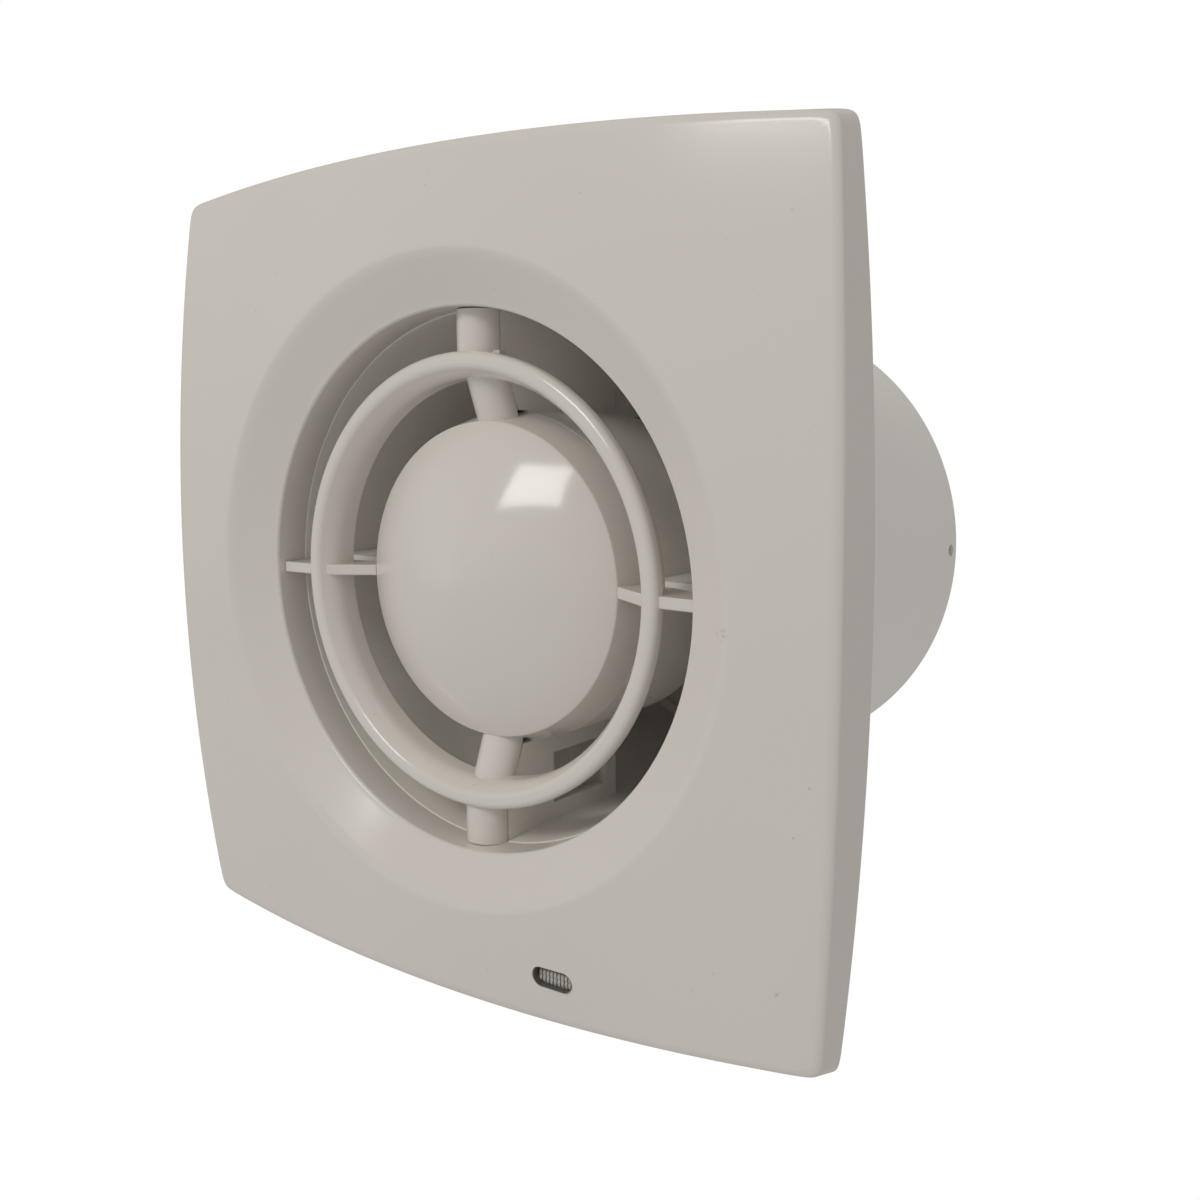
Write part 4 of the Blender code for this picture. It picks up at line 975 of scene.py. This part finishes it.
def make_casing_shell():
    rings = [
        plate_circle(RECESS_R, -PLATE_THICKNESS),
        plate_circle(RECESS_R, BORE_START_Y),
        plate_circle(MOUTH_BORE_R + 0.1, BORE_START_Y),
        plate_circle(MOUTH_BORE_R, BORE_START_Y + 0.12),
        plate_circle(BORE_R, MOUTH_DEPTH),
    ]
    for share in (0.15, 0.3, 0.45, 0.6, 0.75, 0.9):
        rings.append(plate_circle(BORE_R, BORE_START_Y + share * (SEAT_FRONT_Y - BORE_START_Y)))
    rings += [
        plate_circle(BORE_R, SEAT_FRONT_Y - 1.0),
        plate_circle(SEAT_R + 0.2, SEAT_FRONT_Y - 0.1),
        plate_circle(SEAT_R, SEAT_FRONT_Y + 0.1),
        plate_circle(SEAT_R, SEAT_REAR_Y - 0.15),
        plate_circle(SEAT_R + 0.15, SEAT_REAR_Y),
        plate_circle(BORE_R, SEAT_REAR_Y),
        plate_circle(BORE_R, SPIGOT_END_Y - 0.2),
        plate_circle(BORE_R + 0.2, SPIGOT_END_Y),
    ]
    for i in range(7):
        angle = math.pi / 2.0 * i / 6
        radius = SPIGOT_R - 0.7 * (1.0 - math.sin(angle))
        rings.append(plate_circle(radius, SPIGOT_END_Y - 0.7 * (1.0 - math.cos(angle))))
    for share in (0.8, 0.6, 0.4, 0.2):
        rings.append(plate_circle(SPIGOT_R, SHOULDER_Y + 1.7 + share * (SPIGOT_END_Y - SHOULDER_Y)))
    rings += [
        plate_circle(SPIGOT_R, SHOULDER_Y + 1.7),
        plate_circle(SPIGOT_R + 0.3, SHOULDER_Y + 1.2),
        plate_circle(SHOULDER_R - 0.3, SHOULDER_Y + 0.25),
        plate_circle(SHOULDER_R, SHOULDER_Y - 0.1),
        plate_circle(SHOULDER_R, 0.25),
        plate_circle(SHOULDER_R + 0.25, 0.0),
        plate_ring(PLATE_HALF, PLATE_BULGE, 0.0, 0.25),
        plate_ring(PLATE_HALF, PLATE_BULGE, -0.25),
        plate_ring(PLATE_HALF, PLATE_BULGE, -PLATE_THICKNESS + 0.25),
        plate_ring(PLATE_HALF, PLATE_BULGE, -PLATE_THICKNESS, 0.25),
    ]
    shell = loft("casing_shell", rings)
    bottom = -PLATE_HALF - PLATE_BULGE
    low = (-BOSS_HALF, BOSS_FRONT_Y, bottom + 0.2)
    added = [block("screw_boss", low, (BOSS_HALF, POST_REAR_Y, bottom + 6.0))]
    for side in (-1.0, 1.0):
        start = min(side * REST_START, side * (REST_START + REST_LENGTH))
        low = (start, REST_FRONT_Y, -REST_HALF)
        added.append(block("cover_rest", low, (start + REST_LENGTH, POST_REAR_Y, REST_HALF)))
    join(shell, added)
    cutters = [
        rod("boss_hole", (0.0, SCREW_Y, bottom - 3.0), (0.0, SCREW_Y, bottom + 8.0), BOSS_HOLE_R, 24),
        through_hole("cable_hole", GROMMET_X, GROMMET_Z, CABLE_HOLE_R, SMALL),
        rod("pin_holes", (-60.0, PIN_Y, 0.0), (60.0, PIN_Y, 0.0), PIN_HOLE_R, 32),
        lead_groove(),
    ]
    for quarter in range(3):
        x, z = on_diagonal(WALL_SLOT_REACH, 0.0, quarter)
        cutters.append(prism("wall_slot", stadium(x, z, 9.0, 4.6, 16), -THROUGH_Y, THROUGH_Y))
    for x, z in screw_places():
        cutters.append(through_hole("screw_hole", x, z, SMALL_HOLE_R, 24))
    cutters += knock_outs()
    cut(shell, cutters)
    smooth(shell)
    finish_piece(shell, PAINTS["casing_plastic"], CASING, ["rear_casing"])


def through_hole(name, x, z, radius, segments):
    return rod(name, (x, -THROUGH_Y, z), (x, THROUGH_Y, z), radius, segments)


def screw_places():
    """Centres of the small holes for the terminal block's and the clamp's screws."""
    places = []
    for side in (-1.0, 1.0):
        places.append(on_diagonal(BLOCK_R, side * BLOCK_HOLE_OFFSET))
        places.append((CLAMP_X + side * CLAMP_HOLE_OFFSET, CLAMP_Z))
    return places


def lead_groove():
    outline = [(-53.6, -3.0), (-53.6, -2.3), (-50.2, 0.15), (-48.0, 0.15), (-48.0, -3.0)]
    rings = [[(x, y, z) for z, y in outline] for x in (-1.9, 1.9)]
    return loft("lead_groove", rings, False)


def knock_outs():
    """Shallow round score marks on the plate's rear, for cables that come from elsewhere."""
    marks = []
    for x, z in ((GROMMET_X, 8.0), (-GROMMET_X, GROMMET_Z), (-GROMMET_X, 8.0), (0.0, 61.0)):
        profile = [(3.6, -0.35), (4.2, -0.35), (4.4, 1.0), (3.4, 1.0)]
        marks.append(lathe("knock_out", profile, SMALL, True, x, z))
    return marks


def channel(name, sign):
    """A strut from the casing's mouth to the motor cup, which meets the half-round arm along a seam."""
    half = CHANNEL_HALF
    outer_z, cup_z, inner_z = sign * MOUTH_R, sign * (CUP_R + 0.1), sign * (CUP_R - 1.2)
    points = [
        (ARM_OUTER_Y + SEAM, outer_z),
        (ARM_OUTER_Y + SEAM, sign * (RING_SLEEVE_R + 0.25)),
        (RING_END_Y + SEAM, sign * (RING_SLEEVE_R + 0.2)),
        (RING_END_Y + SEAM, sign * (RING_INNER_R - 0.1)),
        (ARM_NOSE_Y + SEAM - 0.05, cup_z),
        (CUP_START_Y + 0.1, cup_z),
        (CUP_START_Y + 0.1, inner_z),
        (CUP_END_Y, inner_z),
        (CUP_END_Y, outer_z),
    ]
    rings = [[(x, y, z) for y, z in points] for x in (-half, half)]
    return loft(name, rings, False)


def make_motor_carrier():
    profile = rounded(
        [
            (CUP_R, CUP_START_Y, 0.12),
            (CUP_R, CUP_END_Y, 0.4),
            (7.6, CUP_END_Y, 0.0),
            (7.6, CUP_END_Y - 2.0, 0.0),
            (CUP_INNER_R, CUP_END_Y - 2.0, 0.8),
            (CUP_INNER_R, CUP_START_Y, 0.3),
        ],
        4,
    )
    carrier = lathe("motor_carrier", profile, ROUND)
    added = [channel("channel_top", 1.0), channel("channel_bottom", -1.0)]
    for label, side in (("left", -1.0), ("right", 1.0)):
        ends = sorted((side * (CUP_R - 1.0), side * MOUTH_R))
        added.append(
            block(f"rib_{label}", (ends[0], RIB_START_Y, -RIB_HALF), (ends[1], CUP_END_Y, RIB_HALF))
        )
    join(carrier, added)
    inner = CHANNEL_HALF - CHANNEL_WALL
    back = CUP_END_Y - 2.0
    cutters = [
        block("hollow_top", (-inner, -1.0, CUP_R - 6.0), (inner, back, MOUTH_R - 1.6)),
        block("hollow_bottom", (-inner, -1.0, -MOUTH_R + 1.6), (inner, back, -CUP_R + 6.0)),
        block(
            "channel_window",
            (0.0, WINDOW_START_Y, WINDOW_BOTTOM_Z),
            (CHANNEL_HALF + 3.0, WINDOW_END_Y, WINDOW_TOP_Z),
        ),
    ]
    cut(carrier, cutters)
    soften(carrier, 0.18, 2)
    finish_piece(carrier, PAINTS["casing_plastic"], CASING, ["motor_support"])


# ---------------------------------------------------------------- impeller

def blade(number, radial_steps=10, chord_steps=14):
    """A twisted aerofoil blade whose tip leads its root."""
    first, last = HUB_R - 0.9, BLADE_TIP_R
    turn = BLADE_PHASE + number * 2.0 * math.pi / BLADE_COUNT
    rings = []
    for k in range(radial_steps + 1):
        share = k / radial_steps
        radius = first + share * (last - first)
        sweep = BLADE_ROOT_SWEEP + share * (BLADE_TIP_SWEEP - BLADE_ROOT_SWEEP)
        lead = share * BLADE_TIP_LEAD
        thin = 1.0 - 0.35 * share
        round_off = 1.6 * max(0.0, share - 0.85) / 0.15
        front, back = [], []
        for i in range(chord_steps + 1):
            along = i / chord_steps
            start, end = BLADE_START_Y + round_off, BLADE_END_Y - round_off
            y = start + along * (end - start)
            angle = turn + lead - sweep * (along - 0.18 * math.sin(math.pi * along))
            edge = math.sqrt(max(0.0, 1.0 - (2.0 * along - 1.0) ** 8))
            half = 0.5 * BLADE_THICKNESS * thin * (0.12 + 0.88 * edge)
            slope = math.atan2(BLADE_END_Y - BLADE_START_Y, sweep * radius)
            shift, rise = half * math.sin(slope) / radius, half * math.cos(slope)
            front.append(ring_point(radius, angle + shift, y + rise))
            back.append(ring_point(radius, angle - shift, y - rise))
        rings.append(front + back[::-1])
    return loft(f"blade_{number + 1}", rings, False)


def make_fan_wheel():
    profile = rounded(
        [
            (HUB_R, HUB_START_Y, 0.3),
            (HUB_R, HUB_END_Y, 2.6),
            (2.06, HUB_END_Y, 0.0),
            (2.06, 41.0, 0.0),
            (5.0, 41.0, 0.3),
            (5.0, HUB_END_Y - 2.0, 0.6),
            (HUB_INNER_R, HUB_END_Y - 2.0, 1.8),
            (HUB_INNER_R, HUB_START_Y, 0.3),
        ],
        6,
    )
    wheel = lathe("fan_wheel", profile, ROUND)
    join(wheel, [blade(number) for number in range(BLADE_COUNT)])
    smooth(wheel)
    finish_piece(wheel, PAINTS["impeller_plastic"], IMPELLER, ["impeller"])


# ---------------------------------------------------------------- shutter

def half_disc(sign, radius, edge, steps=60):
    first = math.asin(edge / radius)
    span = math.pi - 2.0 * first
    return [
        (radius * math.cos(first + span * i / steps), sign * radius * math.sin(first + span * i / steps))
        for i in range(steps + 1)
    ]


def make_flap(name, body, sign, knuckles, node):
    """A thin flap with a raised rim, stiffening ribs and two knuckles on the pin."""
    rear = FLAP_FRONT_Y + FLAP_THICKNESS
    web = FLAP_FRONT_Y + 0.7
    flap = prism(name, half_disc(sign, FLAP_R, FLAP_EDGE_Z), FLAP_FRONT_Y, rear)
    pocket = half_disc(sign, FLAP_R - 1.4, FLAP_EDGE_Z + 2.4)
    cut(flap, [prism("flap_pocket", pocket, web, rear + 2.0)])
    parts, bores = [], []
    for share in (-0.6, -0.2, 0.2, 0.6):
        x = share * FLAP_R
        reach = sign * (math.sqrt(FLAP_R * FLAP_R - x * x) - 0.8)
        ends = sorted((sign * (FLAP_EDGE_Z + 2.0), reach))
        parts.append(block(f"{name}_rib", (x - 0.4, web - 0.2, ends[0]), (x + 0.4, rear - 0.1, ends[1])))
    for start, end in knuckles:
        parts.append(rod(f"{name}_knuckle", (start, PIN_Y, 0.0), (end, PIN_Y, 0.0), KNUCKLE_R))
        web_z = sorted((0.0, sign * (FLAP_EDGE_Z + 2.0)))
        low = (start + 0.01, FLAP_FRONT_Y + 0.02, web_z[0])
        parts.append(block(f"{name}_web", low, (end - 0.01, rear - 0.02, web_z[1])))
        bores.append(rod(f"{name}_bore", (start - 3.0, PIN_Y, 0.0), (end + 3.0, PIN_Y, 0.0), KNUCKLE_BORE_R))
    join(flap, parts)
    cut(flap, bores)
    smooth(flap)
    finish_piece(flap, PAINTS["flap_plastic"], body, [node])


def tube_along(name, points, radius, paint, body, replaced=()):
    """A round wire through points, as a curve with round section and filled ends."""
    curve = bpy.data.curves.new(name, "CURVE")
    curve.dimensions = "3D"
    curve.bevel_depth = radius * MM
    curve.bevel_resolution = 4
    curve.use_fill_caps = True
    spline = curve.splines.new("POLY")
    spline.points.add(len(points) - 1)
    for point, place in zip(spline.points, points):
        point.co = (place[0] * MM, place[1] * MM, place[2] * MM, 1.0)
    wire = bpy.data.objects.new(name, curve)
    bpy.context.scene.collection.objects.link(wire)
    wire.data.materials.append(paint)
    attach(wire, body)
    if replaced:
        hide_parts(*replaced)


def make_shutter():
    make_flap("upper_flap_plate", "upper_flap", 1.0, [(-40.0, -24.2), (8.0, 23.8)], "shutter_flap_upper")
    make_flap("lower_flap_plate", "lower_flap", -1.0, [(-23.8, -8.0), (24.2, 40.0)], "shutter_flap_lower")
    pin = rod("hinge_pin", (-PIN_HALF, PIN_Y, 0.0), (PIN_HALF, PIN_Y, 0.0), PIN_R, 32, 0.2)
    finish_piece(pin, PAINTS["steel"], CASING, ["shutter_pin"])
    turns, wire, reach, coil_r = 14, 0.22, 6.4, 1.62
    points = []
    for i in range(turns * 20 + 1):
        angle = 2.0 * math.pi * i / 20
        x = -reach + 2.0 * reach * i / (turns * 20)
        points.append((x, PIN_Y + coil_r * math.cos(angle), coil_r * math.sin(angle)))
    tube_along("torsion_spring", points, wire, PAINTS["spring_steel"], CASING, ["shutter_spring"])
    rear = FLAP_FRONT_Y + FLAP_THICKNESS + wire + 0.05
    for label, sign in (("upper", 1.0), ("lower", -1.0)):
        x = sign * (reach + 0.15)
        leg = [(x, rear, sign * 2.6), (x, rear, sign * 12.0), (x, rear - 0.1, sign * 14.0)]
        tube_along(f"spring_leg_{label}", leg, wire, PAINTS["spring_steel"], f"{label}_flap")


def make_grommet():
    """The rubber grommet in the plate's cable hole, with a soft lip."""
    profile = rounded(
        [
            (6.8, -3.5, 0.5), (6.8, -2.3, 0.2), (4.3, -2.3, 0.0),
            (4.3, -0.2, 0.3), (3.4, -0.2, 0.3), (3.4, -3.5, 0.5),
        ],
        4,
    )
    grommet = lathe("soft_grommet", profile, 64, True, GROMMET_X, GROMMET_Z)
    finish_piece(grommet, PAINTS["grommet_rubber"], CASING, ["cable_grommet"])


# ---------------------------------------------------------------- studio

def make_camera():
    data = bpy.data.cameras.new("camera")
    data.lens = CAMERA_LENS
    data.sensor_width = 36.0
    data.clip_start = 0.01
    camera = bpy.data.objects.new("camera", data)
    right, up, back = Vector(CAMERA_RIGHT), -Vector(CAMERA_DOWN), -Vector(CAMERA_FORWARD)
    turn = Matrix((right, up, back)).transposed().to_4x4()
    camera.matrix_world = Matrix.Translation(Vector(CAMERA_PLACE) * MM) @ turn
    bpy.context.scene.collection.objects.link(camera)
    bpy.context.scene.camera = camera


def area_light(name, place, width, height, power, colour=(1.0, 1.0, 1.0)):
    """A soft lamp that looks towards the origin; place and sizes are in metres."""
    data = bpy.data.lights.new(name, "AREA")
    data.shape = "RECTANGLE"
    data.size = width
    data.size_y = height
    data.energy = power
    data.color = colour
    light = bpy.data.objects.new(name, data)
    light.location = Vector(place)
    light.rotation_euler = (-Vector(place)).to_track_quat("-Z", "Y").to_euler()
    bpy.context.scene.collection.objects.link(light)
    return light


def make_studio():
    scene = bpy.context.scene
    scene.view_settings.view_transform = "Standard"
    world = bpy.data.worlds.new("studio")
    world.use_nodes = True
    scene.world = world
    tree = world.node_tree
    background = tree.nodes["Background"]
    background.inputs["Color"].default_value = (1.0, 0.99, 0.96, 1.0)
    background.inputs["Strength"].default_value = SKY_STRENGTH
    seen = tree.nodes.new("ShaderNodeBackground")
    seen.inputs["Color"].default_value = (1.0, 1.0, 1.0, 1.0)
    seen.inputs["Strength"].default_value = 1.0
    path = tree.nodes.new("ShaderNodeLightPath")
    mixer = tree.nodes.new("ShaderNodeMixShader")
    tree.links.new(path.outputs["Is Camera Ray"], mixer.inputs["Fac"])
    tree.links.new(background.outputs["Background"], mixer.inputs[1])
    tree.links.new(seen.outputs["Background"], mixer.inputs[2])
    tree.links.new(mixer.outputs["Shader"], tree.nodes["World Output"].inputs["Surface"])

    key = area_light("key", KEY_PLACE, KEY_WIDTH, KEY_HEIGHT, KEY_POWER, (1.0, 0.99, 0.95))
    key.rotation_euler = (math.radians(90.0), 0.0, 0.0)
    area_light("left", FILL_PLACE, FILL_SIZE, FILL_SIZE, FILL_POWER)

    corners = ((-1.0, -1.0), (1.0, -1.0), (1.0, 1.0), (-1.0, 1.0))
    points = [(FLOOR_HALF * x, FLOOR_HALF * y, FLOOR_Z) for x, y in corners]
    floor = add_object("floor", mesh_from("floor", points, [(0, 1, 2, 3)]))
    nodes = Nodes("floor_white")
    pale = nodes.mix(nodes.noise(3.0), (0.84, 0.84, 0.84), (0.88, 0.88, 0.88))
    nodes.link(pale, nodes.shader.inputs["Base Color"])
    nodes.shader.inputs["Roughness"].default_value = 0.9
    glow = nodes.add("ShaderNodeEmission")
    glow.inputs["Color"].default_value = (1.0, 1.0, 1.0, 1.0)
    floor_mixer = nodes.add("ShaderNodeMixShader")
    nodes.link(nodes.add("ShaderNodeLightPath").outputs["Is Camera Ray"], floor_mixer.inputs["Fac"])
    nodes.link(nodes.shader.outputs["BSDF"], floor_mixer.inputs[1])
    nodes.link(glow.outputs["Emission"], floor_mixer.inputs[2])
    nodes.link(floor_mixer.outputs["Shader"], nodes.tree.nodes["Material Output"].inputs["Surface"])
    floor.data.materials.append(nodes.material)


def main():
    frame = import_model()
    make_camera()
    make_studio()
    make_front_shell()
    make_lamp_window()
    make_cover_screw()
    make_grille()
    make_nose()
    make_casing_shell()
    make_motor_carrier()
    make_fan_wheel()
    make_shutter()
    make_grommet()
    paint_cad_nodes(frame)


main()
